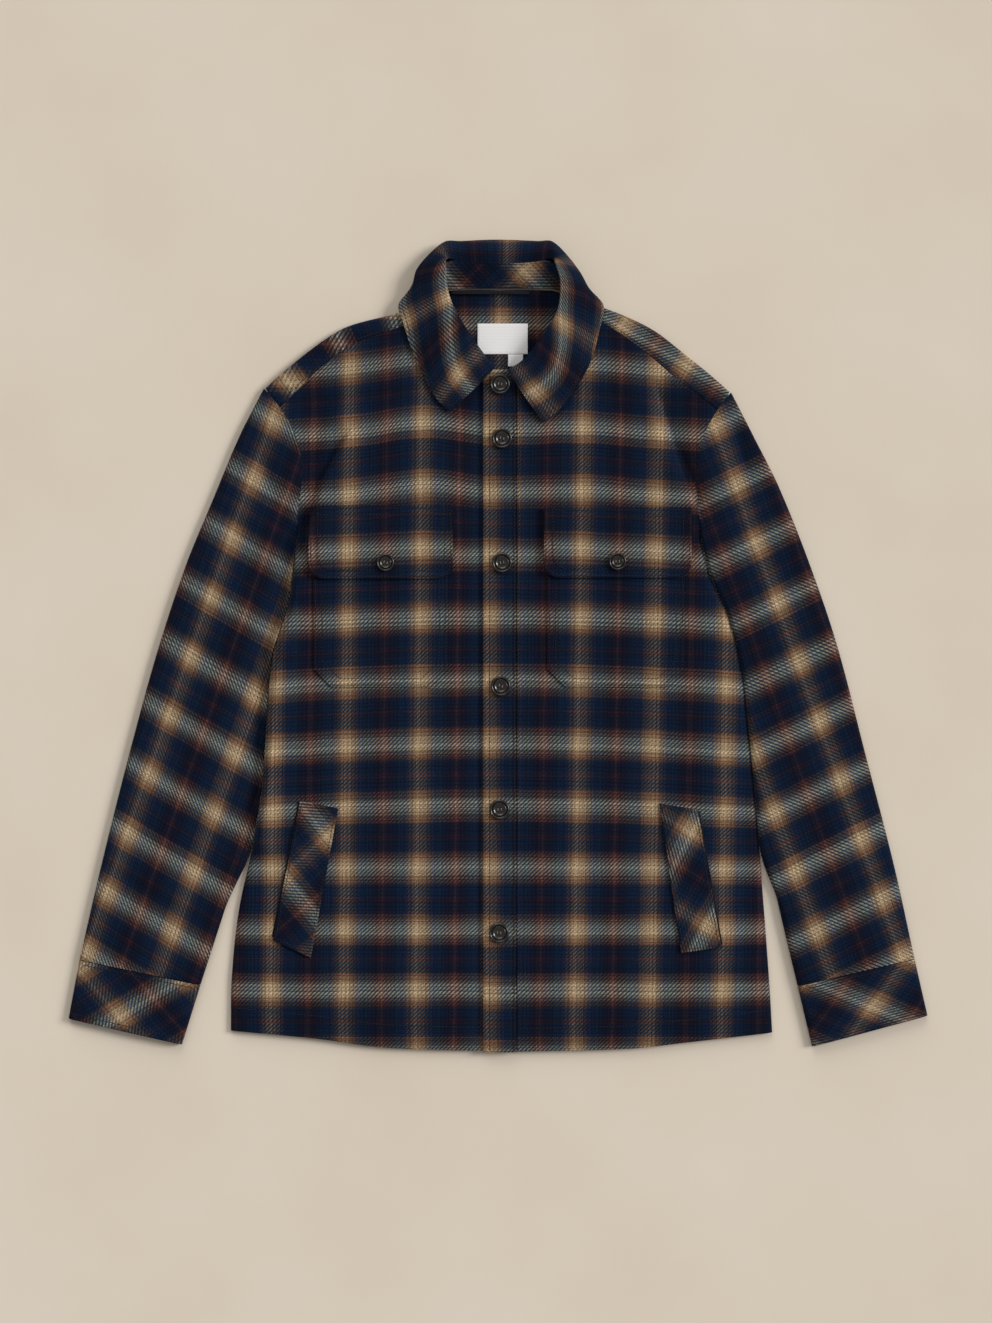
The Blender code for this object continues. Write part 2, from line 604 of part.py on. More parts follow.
def make_neck_trim():
    """The bare label and size tab inside the back neck, and the hanging loop above them."""
    def inside_neck(patch, wall, arch=0.0):
        def place(u, v):
            z = CLOTH + SEAM + wall + arch * math.sin(math.pi * u)
            return Vector((lerp(patch.x0, patch.x1, u), lerp(patch.top, patch.foot, v), z))

        return place

    cloth("neck_label", even(4), even(2), inside_neck(LABEL, LABEL_CLOTH), LABEL_CLOTH, LABEL_WHITE)
    cloth("size_tab", even(2), even(2), inside_neck(SIZE_TAB, LABEL_CLOTH), LABEL_CLOTH, LABEL_WHITE)
    cloth("hanger_loop", even(8), even(1), inside_neck(LOOP, LOOP_CLOTH, LOOP_ARCH), LOOP_CLOTH)


for leftover in list(bpy.data.objects):
    bpy.data.objects.remove(leftover)
make_back()
make_yoke()
for wearer_side in ("right", "left"):
    make_front(wearer_side)
    make_sleeve(wearer_side)
    make_cuff(wearer_side)
    make_pockets(wearer_side)
make_placket()
make_collar()
make_buttons()
make_neck_trim()
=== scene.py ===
# %% [markdown]
# # A checked flannel overshirt jacket, laid flat
#
# The imported solids give the jacket its size and place. This lesson dresses them: each panel becomes
# a thin shell on its solid's form, with finer creases, stitches and a charted check.
# Lengths are in millimetres in the frame's own axes: +X towards the wearer's left sleeve, +Y towards
# the collar, +Z up from the floor.

# %% Set up
import functools
import json
import math
import random
from collections import namedtuple

import bmesh
import bpy
from mathutils import Matrix, Vector, noise

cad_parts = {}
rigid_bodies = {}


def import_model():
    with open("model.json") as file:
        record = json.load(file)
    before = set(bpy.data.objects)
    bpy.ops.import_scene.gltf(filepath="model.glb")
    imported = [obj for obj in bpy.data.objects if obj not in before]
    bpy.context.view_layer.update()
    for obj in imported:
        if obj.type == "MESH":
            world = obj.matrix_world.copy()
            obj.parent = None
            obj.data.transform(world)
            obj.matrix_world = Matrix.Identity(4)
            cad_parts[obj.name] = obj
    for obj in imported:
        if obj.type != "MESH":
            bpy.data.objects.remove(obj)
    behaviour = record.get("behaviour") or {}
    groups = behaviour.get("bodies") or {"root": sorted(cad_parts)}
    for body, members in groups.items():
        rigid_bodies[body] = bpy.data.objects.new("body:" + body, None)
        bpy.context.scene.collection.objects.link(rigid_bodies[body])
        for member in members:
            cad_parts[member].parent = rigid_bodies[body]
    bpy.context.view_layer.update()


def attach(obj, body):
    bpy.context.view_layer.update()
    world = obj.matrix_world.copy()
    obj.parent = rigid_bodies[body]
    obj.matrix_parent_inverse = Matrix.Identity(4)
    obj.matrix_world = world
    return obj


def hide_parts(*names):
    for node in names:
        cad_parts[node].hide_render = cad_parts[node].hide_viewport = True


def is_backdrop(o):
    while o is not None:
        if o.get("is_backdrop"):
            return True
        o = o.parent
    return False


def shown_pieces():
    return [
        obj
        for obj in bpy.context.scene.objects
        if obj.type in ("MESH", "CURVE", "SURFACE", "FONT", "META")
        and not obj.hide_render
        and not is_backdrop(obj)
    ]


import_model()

MM = 0.001
WELD = 1e-6  # metres
CLOTH = 2.6  # wall of the solids
SHELL = 1.4  # wall of the cloth that shows
TRIM = 2.0  # flaps and welts
POCKET = 1.2
SEAM = 0.3  # gap that keeps sewn pieces apart
CURVED_SEAM = 0.15  # the same where both edges curve, which lie closer here than in the solids
TURNED_EDGE = 0.5  # rounding where cloth turns over

# %% [markdown]
# ## The cut
#
# These are the solids' own sizes. Each side's edges run from hem to underarm, from hem corner to
# placket, and from armhole to neck. "right" is the wearer's right, at -X.

# %% Body edges
SIDES = ("right", "left")
Edge = namedtuple("Edge", "x y")
PLACKET_LEFT, PLACKET_RIGHT = -15.0, 19.0
PLACKET_TOP, PLACKET_FOOT = 276.0, -405.4
PLACKET_STEP = CLOTH + SEAM
REST = 0.4  # gap between the back and a front lying on it
PLACKET_FACE = 2 * CLOTH + REST + PLACKET_STEP
PLACKET_EDGE_DROP = 0.5
SIDE_EDGE = {
    "right": [Edge(-267, -384), Edge(-266, -330), Edge(-259, -264), Edge(-246, -204), Edge(-236, -144),
              Edge(-229, -41), Edge(-225, -8), Edge(-210, 39), Edge(-203, 87), Edge(-199, 127)],
    "left": [Edge(274, -386), Edge(271, -335), Edge(265, -254), Edge(257, -154), Edge(245, -31),
             Edge(238, 4), Edge(228, 36), Edge(212, 70), Edge(203, 106), Edge(199, 133)],
}
HEM = {
    "right": [Edge(-267, -384), Edge(-182, -392), Edge(-112, -401), Edge(PLACKET_RIGHT, -405)],
    "left": [Edge(274, -386), Edge(187, -396), Edge(132, -402), Edge(PLACKET_RIGHT, -405)],
}
Shoulder = namedtuple("Shoulder", "fold_x fold_y seam_x seam_y")
SHOULDER = {
    "right": [Shoulder(-232.4, 257.4, -217, 238), Shoulder(-208, 279, -196, 259),
              Shoulder(-177, 303, -167, 286), Shoulder(-150, 319, -142, 302),
              Shoulder(-98, 333, -95, 319), Shoulder(-63, 346, -61, 333)],
    "left": [Shoulder(231.4, 253.4, 217.5, 235), Shoulder(214, 269, 200, 250),
             Shoulder(188, 290, 174, 270), Shoulder(154, 316, 142, 297),
             Shoulder(110, 336, 104, 322), Shoulder(67, 348, 65, 335)],
}
NECKLINE = {
    "right": [Edge(-61, 333), Edge(-52, 318), Edge(-36, 293), Edge(-16, 277.5)],
    "left": [Edge(65, 335), Edge(59, 318), Edge(42, 292), Edge(20, 277.5)],
}
BACK_NECK = [Edge(-63, 346), Edge(-55, 353.6), Edge(-36, 355.6), Edge(0, 355.8), Edge(38, 355.6),
             Edge(59, 354), Edge(67, 348)]
YOKE_SEAM_AT, FORWARD_SEAM_AT, ARMHOLE_RUN = 0.5, 0.17, 145.0
SIDE_SHARE, CENTRE_SHARE = 0.74, 0.78
LOFT, HEM_FADE, SIDE_FADE = 3.3, 45.0, 60.0
BACK_INSET, ROLL, ROLL_FOOT = 9.0, 8.0, 2.3
SHOULDER_HEIGHT = 8.4
print(f"body: {HEM['left'][0].x - HEM['right'][0].x} mm wide at the hem")

# %% [markdown]
# A sleeve is a flattened tube through rings. Each ring has an outer and an inner edge, and bows up
# the sleeve. The section table says how a tube turns over at its edges.

# %% Sleeves and cuffs
Ring = namedtuple("Ring", "out_x out_y in_x in_y bow")
SLEEVE = {
    "right": [Ring(-234, 257, -200.3, 127, 19.5), Ring(-258, 210, -206, 85, 13),
              Ring(-284, 148, -213, 36, 8), Ring(-312, 80, -229, -12, 5), Ring(-341, -8, -234, -90, 3),
              Ring(-371, -118, -242, -165, 1), Ring(-397, -222, -264, -236, 0),
              Ring(-418, -313, -297, -338, 0)],
    "left": [Ring(233, 253, 200.3, 133, 16), Ring(256, 208, 208, 84, 11), Ring(280, 160, 228, 40, 8),
             Ring(309, 88, 241, -10, 5), Ring(338, 3, 251, -85, 3), Ring(367, -108, 261, -163, 1),
             Ring(396, -221, 277, -245, 0), Ring(416, -312, 299, -339, 0)],
}
CUFF_END = {"right": Ring(-429, -372, -315.6, -398, 0), "left": Ring(429, -369, 313.6, -400, 0)}
SLEEVE_HEIGHT, CUFF_HEIGHT, TOUCH = 8.9, 8.4, 0.1
BOW_EASE = 2.0  # straightens a ring towards the underarm, so that no ring crosses the next
Step = namedtuple("Step", "inward top under")
TUBE_EDGE = [Step(0.7, 0.63, 0.135), Step(2.5, 0.79, 0), Step(6, 0.88, None), Step(16, 0.96, None)]
TUBE_EDGE_MIDDLE = 0.38
FLAT_FROM = 0.7  # share of a tube's height above which its folds show
TUBE_LOW = 2.1 * SHELL  # least height of a sunk sleeve: two walls and a little air
NEAR, NEAR_FADE = 14, 8  # a sleeve that is nearer the body than this is brought up to it
print(f"sleeves: {len(SLEEVE['right'])} rings each")

# %% [markdown]
# The collar's stations run from the wearer's right front round the back to the left front.

# %% Collar, pockets and trim
Station = namedtuple("Station", "tuck short seam roll over free")
COLLAR = [
    Station(0, 5, (-12, 278, 9.4), (-3, 277, 12.4), (-22, 257.5, 13.0), (-48, 233, 11.8)),
    Station(0, 7.5, (-27, 291, 9.4), (-20, 299, 16), (-44, 276, 15.6), (-64, 250, 11.8)),
    Station(0, 7.5, (-46, 319, 9.4), (-38, 326.5, 19), (-63, 307, 17), (-83, 288, 11.8)),
    Station(0, 7.5, (-55, 337, 9.2), (-47, 345, 20.5), (-72, 333, 18), (-94, 320, 12)),
    Station(0, 7.5, (-57, 350, 5.6), (-51, 362, 20.5), (-77, 354, 17.5), (-99, 341, 10)),
    Station(0.5, 6, (-53, 355, 5.2), (-52, 380, 19), (-81, 375, 12), (-84, 356, 4)),
    Station(0.9, 6, (-46, 356.4, 4.6), (-50, 388, 16.5), (-56, 401.5, 10), (-60, 365, 1)),
    Station(1, 1.4, (-30, 356.6, 3.8), (-33, 385, 13.8), (-36, 404, 8), (-34, 366, 0.3)),
    Station(1, 0.6, (0, 356.8, 3.8), (0, 383.5, 13.4), (0, 405.4, 8), (0, 366, 0.3)),
    Station(1, 1.4, (32, 356.6, 3.8), (35, 385, 13.8), (38, 404, 8), (36, 366, 0.3)),
    Station(0.9, 6, (50, 356.4, 4.6), (53, 388, 16.5), (57, 401.5, 10), (64, 365, 1)),
    Station(0.5, 6, (58, 355, 5.2), (58, 379, 19), (82, 372, 12), (88, 355, 4)),
    Station(0, 7.5, (63, 350, 5.6), (62, 360, 20.5), (86, 352, 17.5), (105, 340, 10.2)),
    Station(0, 7.5, (64, 340, 9.2), (59, 334, 20.5), (82, 324, 18), (101, 314, 12)),
    Station(0, 7.5, (54, 305, 9.4), (47, 313, 19), (70, 297, 17), (91, 280, 11.8)),
    Station(0, 7.5, (35, 279, 9.4), (27, 287, 16), (48, 264, 15.6), (69, 244, 11.8)),
    Station(0, 5, (19, 270, 9.4), (9, 275, 12.4), (24, 252, 13.0), (45, 222, 11.8)),
]
CROWN_FLAT, CROWN_TUCKED = 1.6, 4.6
Patch = namedtuple("Patch", "x0 x1 top foot corner")
CHEST_POCKET = {"right": Patch(-184, -50, 135, -41, 18), "left": Patch(49, 186, 135, -41, 18)}
CHEST_FLAP = {"right": Patch(-188, -45, 140, 67, 15), "left": Patch(46, 193, 138, 68, 15)}
WELT = {
    "right": [Edge(-197.4, -154), Edge(-159.3, -162), Edge(-186.5, -311), Edge(-224.7, -293)],
    "left": [Edge(199.2, -163), Edge(161, -157), Edge(182.3, -306), Edge(222.8, -300.5)],
}
FRONT_BUTTONS = [Edge(2, 261), Edge(4, 207), Edge(4, 83), Edge(2.7, -40), Edge(1.6, -163), Edge(1, -286)]
POCKET_BUTTONS = {"right": Edge(-112, 83), "left": Edge(119, 84)}
FRONT_BUTTON, POCKET_BUTTON = 20.0, 17.5
LABEL = Patch(-20.5, 29.7, 322, 291.5, 0)
SIZE_TAB = Patch(10, 25, 291.2, 279, 0)
LOOP = Patch(-47, 31, 354.6, 351.0, 0)
LABEL_CLOTH, LOOP_CLOTH, LOOP_ARCH = 0.8, 1.4, 1.6
print(f"collar: {len(COLLAR)} stations. Buttons: {len(FRONT_BUTTONS) + len(POCKET_BUTTONS)}")

# %% [markdown]
# ## Folds and creases
#
# Soft troughs (negative) and ridges, each with its own run, width and height. The first rows are the
# solids' large folds, and the rest are the creases that only the cloth shows.

# %% Folds
Fold = namedtuple("Fold", "x0 y0 x1 y1 width height")
FOLDS = [
    Fold(-165, 262, -180, 208, 10, -2.0), Fold(-180, 208, -196, 150, 9, -2.4),
    Fold(-148, 258, -164, 190, 13, 1.3), Fold(155, 256, 172, 205, 8, -1.8),
    Fold(172, 205, 199, 140, 7, -2.6), Fold(146, 250, 178, 160, 11, 1.4),
    Fold(-236, 205, -214, 120, 10, -1.8), Fold(-268, 130, -232, 52, 15, -1.5),
    Fold(236, 222, 250, 165, 9, -2.2), Fold(252, 120, 300, 40, 16, -1.6),
    Fold(-330, -60, -300, -190, 16, -1.3), Fold(330, -70, 312, -200, 16, -1.3),
    Fold(-372, -230, -330, -270, 12, -1.2), Fold(372, -236, 340, -282, 12, -1.2),
]
CREASES = [
    Fold(-173, 250, -180, 206, 6, -1.2),
    Fold(236, 226, 246, 180, 6, -1.5), Fold(-240, 196, -226, 150, 6, -1.4),
    Fold(-124, 236, -140, 170, 6, -0.8), Fold(112, 262, 130, 200, 6, -0.7),
    Fold(-206, 20, -216, -60, 8, 0.9), Fold(222, 0, 236, -90, 8, 0.9),
    Fold(-120, -80, -128, -190, 12, 0.6), Fold(96, -70, 104, -170, 12, 0.6),
    Fold(-60, -230, -70, -340, 14, 0.7), Fold(70, -220, 84, -330, 13, 0.6),
    Fold(-250, -330, -190, -350, 9, -0.7), Fold(250, -320, 200, -352, 9, -0.7),
    Fold(-290, 90, -258, 40, 7, 0.9), Fold(-318, 10, -262, -30, 8, -0.9),
    Fold(-352, -110, -290, -150, 9, 0.8), Fold(-392, -260, -350, -300, 8, 0.8),
    Fold(284, 96, 262, 30, 7, 0.9), Fold(322, 8, 268, -40, 8, -0.9),
    Fold(352, -120, 300, -150, 9, 0.8), Fold(388, -262, 352, -300, 8, 0.8),
]
# At each armhole the front is tucked: it falls steeply along a line and rises slowly to the sleeve. On
# the wearer's right this goes on down the side, where the sleeve sinks beside the body. The last row
# sinks the right front beside the placket.
Tuck = namedtuple("Tuck", "x0 y0 x1 y1 fade depth ridge")
TUCKS = [
    Tuck(-150, 210, -176, 163, 17, 6.0, 2.2), Tuck(-177, 161, -196, 84, 15, 5.6, 1.4),
    Tuck(-200, 112, -210, 39, 15, 6.8, 7.5), Tuck(-210, 39, -225, -8, 15, 6.8, 8.5),
    Tuck(-225, -8, -236, -144, 15, 6.8, 9.0), Tuck(-236, -144, -246, -204, 14, 6.4, 7.5),
    Tuck(157, 256, 174, 202, 14, 3.6, 1.2), Tuck(174, 200, 201, 130, 13, 4.0, 1.2),
    Tuck(-15, 290, -15, -420, 7, 1.3, 0),
]
TUCK_REACH, TUCK_EDGE = 60, 3.0  # how far from its line a tuck is felt, and the width of its fall
RIDGE_AT, RIDGE_OUT, RIDGE_IN = 6, 7, 18  # how far inside the line the ridge stands, and its widths
FADED, END_REACH, END_FADE = 2.5, 20, 0.2  # a fold ends this many widths away, and past its two ends
NAP_SWELL, SWELL_SIZE = 0.35, 55  # slow unevenness of the lying cloth
print(f"{len(FOLDS)} folds, {len(CREASES)} creases, {len(TUCKS)} tucks")

# %% [markdown]
# ## Curves
#
# A panel is a grid stretched between four edge curves. The same few functions draw every edge.

# %% Curves
def smooth(t):
    t = min(1.0, max(0.0, t))
    return t * t * (3 - 2 * t)


def lerp(a, b, t):
    return a + (b - a) * t


def even(count):
    return [i / count for i in range(count + 1)]


def along(points, t):
    """The point at t, 0 to 1 by chord length, on a smooth curve through the points."""
    points = [Vector(p) for p in points]
    at = [0.0]
    for a, b in zip(points, points[1:]):
        at.append(at[-1] + max((b - a).length, 1e-6))
    here = min(1.0, max(0.0, t)) * at[-1]
    i = max(k for k in range(len(points) - 1) if at[k] <= here + 1e-9)

    def slope(k):
        low, high = max(0, k - 1), min(len(points) - 1, k + 1)
        return (points[high] - points[low]) / (at[high] - at[low])

    span = at[i + 1] - at[i]
    s = (here - at[i]) / span
    return (points[i] * (2 * s**3 - 3 * s**2 + 1) + points[i + 1] * (3 * s**2 - 2 * s**3)
            + (slope(i) * (s**3 - 2 * s**2 + s) + slope(i + 1) * (s**3 - s**2)) * span)


def across(points, value, axis):
    """The other coordinate where a curve that runs along one axis (0 is x, 1 is y) has this value."""
    rows = sorted(points, key=lambda p: p[axis])
    for a, b in zip(rows, rows[1:]):
        if value <= b[axis] or b is rows[-1]:
            t = (value - a[axis]) / (b[axis] - a[axis])
            return lerp(a[1 - axis], b[1 - axis], min(1.0, max(0.0, t)))


def coons(foot, top, start, end):
    """A point function filling four edge curves: foot and top run with u, start and end with v."""
    foot, top, start, end = (functools.lru_cache(None)(curve) for curve in (foot, top, start, end))

    def point(u, v):
        ruled = lerp(foot(u), top(u), v) + lerp(start(v), end(v), u)
        corners = lerp(lerp(foot(0), foot(1), u), lerp(top(0), top(1), u), v)
        return ruled - corners

    return point


def joined(*runs):
    """One curve from several (curve, share) runs, each a function of 0 to 1."""

    def point(t):
        for curve, share in runs[:-1]:
            if t < share:
                return curve(t / share)
            t -= share
        curve, share = runs[-1]
        return curve(min(1.0, t / share))

    return point


def ring_point(ring, w):
    out, inner = Vector((ring.out_x, ring.out_y)), Vector((ring.in_x, ring.in_y))
    chord = inner - out
    up = Vector((-chord.y, chord.x)) if out.x < 0 else Vector((chord.y, -chord.x))
    return out + chord * w + up.normalized() * ring.bow * (4 * w - BOW_EASE * w**6) * (1 - w)


def armhole(side, w, inward=0.0):
    """Point on an armhole, from the shoulder (w 0) to the underarm (w 1), moved towards the body."""
    point = ring_point(SLEEVE[side][0], w)
    return point + Vector((inward if side == "right" else -inward, 0))


def outer_edge(side, top_at, inset):
    """Hem corner to underarm to a point on the armhole."""
    sign = 1 if side == "right" else -1
    seam_side = [(x + sign * inset, y) for x, y in SIDE_EDGE[side]]
    return joined((lambda t: along(seam_side, t), SIDE_SHARE),
                  (lambda t: armhole(side, lerp(1.0, top_at, t), CURVED_SEAM), 1 - SIDE_SHARE))


def shoulder_fold(side, t):
    return along([(row.fold_x, row.fold_y) for row in SHOULDER[side]], t)


def forward_seam(side, t, front_gap=0.0):
    """The seam from the armhole to the neck, moved down into the front by front_gap."""
    at_arm = armhole(side, FORWARD_SEAM_AT + front_gap / ARMHOLE_RUN, CURVED_SEAM)
    rest = [(row.seam_x, row.seam_y - front_gap) for row in SHOULDER[side][1:]]
    return along([at_arm] + rest, t)


rim = [armhole("right", t) for t in even(40)]
print(f"armhole: {sum((b - a).length for a, b in zip(rim, rim[1:])):.0f} mm from shoulder to underarm")

# %% [markdown]
# Heights come from the folds: a front lies on the back with some loft, rolls over at its side seam,
# and rises or sinks with each fold.

# %% Heights
HEM_START, SIDE_START = 8, 6  # loft begins this far outside the hem and the side seam
PLACKET_CLEAR, RIGHT_FADE, LEFT_FADE = 8, 40, 60  # loft grows away from the placket
ARM_FADE, ROLL_CLEAR, ROLL_FADE = 40, 4, 25  # the side's fall and roll end below the underarm


def along_across(line, here):
    """How far along a line (0 to 1) a point lies, and how far to its +X side."""
    start = Vector((line.x0, line.y0))
    run = Vector((line.x1, line.y1)) - start
    away = here - start
    return away.dot(run) / run.length_squared, away.dot(Vector((-run.y, run.x)).normalized())


def end_fade(t):
    return smooth((t + END_FADE) / (2 * END_FADE)) * smooth((1 + END_FADE - t) / (2 * END_FADE))


def fold_height(x, y):
    total = NAP_SWELL * noise.noise(Vector((x / SWELL_SIZE, y / SWELL_SIZE, 3.0)))
    here = Vector((x, y))
    for fold in FOLDS + CREASES:
        reach = FADED * fold.width + END_REACH
        if min(fold.x0, fold.x1) - reach < x < max(fold.x0, fold.x1) + reach:
            t, off = along_across(fold, here)
            total += fold.height * math.exp(-(off / fold.width) ** 2) * end_fade(t)
    return total


def tuck_height(x, y):
    total = 0.0
    for tuck in TUCKS:
        if min(tuck.x0, tuck.x1) - TUCK_REACH < x < max(tuck.x0, tuck.x1) + TUCK_REACH:
            t, off = along_across(tuck, Vector((x, y)))
            beyond = off if tuck.x0 > 0 else -off
            fall = tuck.depth * smooth((beyond + TUCK_EDGE / 2) / TUCK_EDGE)
            fall *= math.exp(-(max(0.0, beyond) / tuck.fade) ** 2)
            from_ridge = beyond + RIDGE_AT
            rise = tuck.ridge * math.exp(-(from_ridge / (RIDGE_OUT if from_ridge > 0 else RIDGE_IN)) ** 2)
            total += (rise - fall) * end_fade(t)
    return total


def front_top(x, y, side):
    """Height of the upper face of a front that lies on the back."""
    edge = SIDE_EDGE[side]
    inward = abs(across(edge, y, 1)) - abs(x)
    above_hem = y - across(HEM[side], x, 0)
    loft = LOFT * smooth((above_hem + HEM_START) / HEM_FADE)
    if side == "right":
        loft *= smooth((PLACKET_LEFT - PLACKET_CLEAR - x) / RIGHT_FADE)
    else:
        loft = lerp(min(loft, PLACKET_STEP), loft, smooth((x - PLACKET_RIGHT) / LEFT_FADE))
    below_arm = smooth((edge[-1].y - y) / ARM_FADE)
    loft *= lerp(1.0, smooth((inward + SIDE_START) / SIDE_FADE), below_arm)
    top = 2 * CLOTH + REST + loft + fold_height(x, y) * smooth(loft / LOFT) + tuck_height(x, y)
    top = max(top, CLOTH + SHELL + SEAM)
    if inward < ROLL:
        bend = 1 - math.sqrt(max(0.0, 1 - (1 - max(0.0, inward) / ROLL) ** 2))
        top -= (top - ROLL_FOOT) * bend * smooth((edge[-1].y - ROLL_CLEAR - y) / ROLL_FADE)
    return top


print(f"right front: {front_top(-110, 0, 'right'):.1f} mm high at the chest")

# %% [markdown]
# ## Making cloth
#
# cloth() bends a grid into place, writes where each corner lies in the uncut fabric into the UV map
# "cut", in metres, and gives the sheet a wall.

# %% Cloth
Grid = namedtuple("Grid", "columns rows place cut")


def cloth(name, *grids, wall=SHELL, closed=False):
    mesh = bmesh.new()
    chart = mesh.loops.layers.uv.new("cut")
    in_fabric = {}
    for grid in grids:
        across_count, up_count = len(grid.columns) - 1, len(grid.rows) - 1
        made = bmesh.ops.create_grid(mesh, x_segments=across_count, y_segments=up_count, size=0.5)
        for vert in made["verts"]:
            u = grid.columns[round((vert.co.x + 0.5) * across_count)]
            v = grid.rows[round((vert.co.y + 0.5) * up_count)]
            point = Vector(grid.place(u, v))
            in_fabric[vert] = Vector(grid.cut(u, v, point)) * MM
            vert.co = point * MM
    for face in mesh.faces:
        for loop in face.loops:
            loop[chart].uv = in_fabric[loop.vert]
    if closed:
        bmesh.ops.remove_doubles(mesh, verts=mesh.verts, dist=WELD)
        bmesh.ops.recalc_face_normals(mesh, faces=mesh.faces)
        mesh.normal_update()
        middle = sum(vert.co.z for vert in mesh.verts) / len(mesh.verts)
        outward = sum(face.normal.z * (face.calc_center_median().z - middle) * face.calc_area()
                      for face in mesh.faces)
        if outward < 0:
            bmesh.ops.reverse_faces(mesh, faces=mesh.faces)
    else:
        turn_up(mesh)
    return thicken(to_object(name, mesh), wall)


def turn_up(mesh):
    """Turn an open sheet so that most of it faces up."""
    mesh.normal_update()
    if sum(face.normal.z * face.calc_area() for face in mesh.faces) < 0:
        bmesh.ops.reverse_faces(mesh, faces=mesh.faces)


def to_object(name, mesh):
    data = bpy.data.meshes.new(name)
    mesh.to_mesh(data)
    mesh.free()
    data.shade_smooth()
    made = bpy.data.objects.new(name, data)
    bpy.context.collection.objects.link(made)
    return made


def thicken(made, wall):
    solid = made.modifiers.new("wall", "SOLIDIFY")
    solid.thickness = wall * MM
    solid.offset = -1
    solid.use_quality_normals = True
    edge = made.modifiers.new("turned edge", "BEVEL")
    edge.width = TURNED_EDGE * MM
    edge.segments = 2
    edge.limit_method = "ANGLE"
    edge.angle_limit = math.radians(50)
    return made


def join(made, look, node=None):
    """Give a piece its look and join it to the frame, in place of a node's solid if it has one."""
    made.data.materials.append(look)
    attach(made, "root")
    if node:
        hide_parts(node)
    print(f"{made.name}: {len(made.data.polygons)} faces")


def lay(made, node, look, flat):
    """Join a cloth piece to the frame. flat is its cut, width and length in metres."""
    join(made, look, node)
    area = sum(face.area for face in made.data.polygons)
    print(f"  {area:.4f} of {flat[0] * flat[1]:.4f} square metres")


# %% [markdown]
# ## The check
#
# The warp repeats every 73 mm and the weft every 62.5 mm, and each is the same on both sides of its
# pale stripe. A 2/2 twill shows the two in turn, along diagonals. Brushed fibres of two colours blend
# darker than paint, so the chart's colours are mixed first and raised to a power after, which also
# makes them linear.

# %% Check chart
WARP_REPEAT, WEFT_REPEAT = 73.0, 62.5
THREAD = 0.95  # spacing of drawn threads
LINE_PITCH = 3.8  # every fourth thread is darker, and gives the pale squares a fine grid
TWILL = 4.2  # diagonals, about one and a half times as coarse as real ones, so that they show
DARK_COVER = 0.17  # how far the darker thread's fibres cover the paler one's
BLEND = 2.75  # power that turns charted colours into linear ones
Stripe = namedtuple("Stripe", "at colour")
WARP = [
    Stripe(0, "#967A64"), Stripe(4, "#8C715C"), Stripe(7, "#6B5549"), Stripe(10, "#4C4143"),
    Stripe(14, "#232D48"), Stripe(20, "#172D42"), Stripe(25, "#1A2237"), Stripe(29, "#1F1C2E"),
    Stripe(33, "#281927"), Stripe(34.2, "#3E252E"), Stripe(36.5, "#462A31"),
]
WEFT = [
    Stripe(0, "#C8C0A3"), Stripe(4.5, "#BCB497"), Stripe(7.5, "#9C8F76"), Stripe(9, "#7C6B57"),
    Stripe(10, "#8A775F"), Stripe(11.2, "#645246"), Stripe(12.4, "#7A5F49"), Stripe(13.8, "#534640"),
    Stripe(15.2, "#6A5040"), Stripe(17, "#2A2F3C"), Stripe(20, "#16293E"), Stripe(28.5, "#16283C"),
    Stripe(29.8, "#3A2830"), Stripe(31.25, "#22283A"),
]
print(f"check: {len(WARP)} warp and {len(WEFT)} weft stripes charted")

# %% [markdown]
# ## Materials
#
# One small function adds a shader node and feeds it. The flannel reads the map "cut": it finds the
# thread, its distance from the nearest pale stripe and its colour, once for the warp and once for the
# weft, and the twill then picks which of the two lies on top.

# %% Materials
def display(colour):
    """A colour such as "#D5C8B6" as display values from 0 to 1, with alpha."""
    return [int(colour[i:i + 2], 16) / 255 for i in (1, 3, 5)] + [1.0]


def linear(colour):
    values = display(colour)[:3]
    return [v / 12.92 if v <= 0.04045 else ((v + 0.055) / 1.055) ** 2.4 for v in values] + [1.0]


def add(tree, kind, inputs, **settings):
    """Add one shader node and feed its inputs with values or with other nodes' sockets."""
    made = tree.nodes.new("ShaderNode" + kind)
    for key, value in settings.items():
        setattr(made, key, value)
    for key, value in inputs.items():
        if isinstance(value, bpy.types.NodeSocket):
            tree.links.new(value, made.inputs[key])
        else:
            made.inputs[key].default_value = value
    return made


def maths(tree, operation, a, b):
    return add(tree, "Math", {0: a, 1: b}, operation=operation).outputs[0]


def mixed(tree, share, a, b, blend="MIX"):
    return add(tree, "Mix", {0: share, 6: a, 7: b}, data_type="RGBA", blend_type=blend).outputs[2]


def new_look(name, colour, roughness, inputs):
    look = bpy.data.materials.new(name)
    look.use_nodes = True
    shader = look.node_tree.nodes["Principled BSDF"]
    shader.inputs["Base Color"].default_value = linear(colour)
    shader.inputs["Roughness"].default_value = roughness
    for key, value in inputs.items():
        shader.inputs[key].default_value = value
    return look, look.node_tree, shader


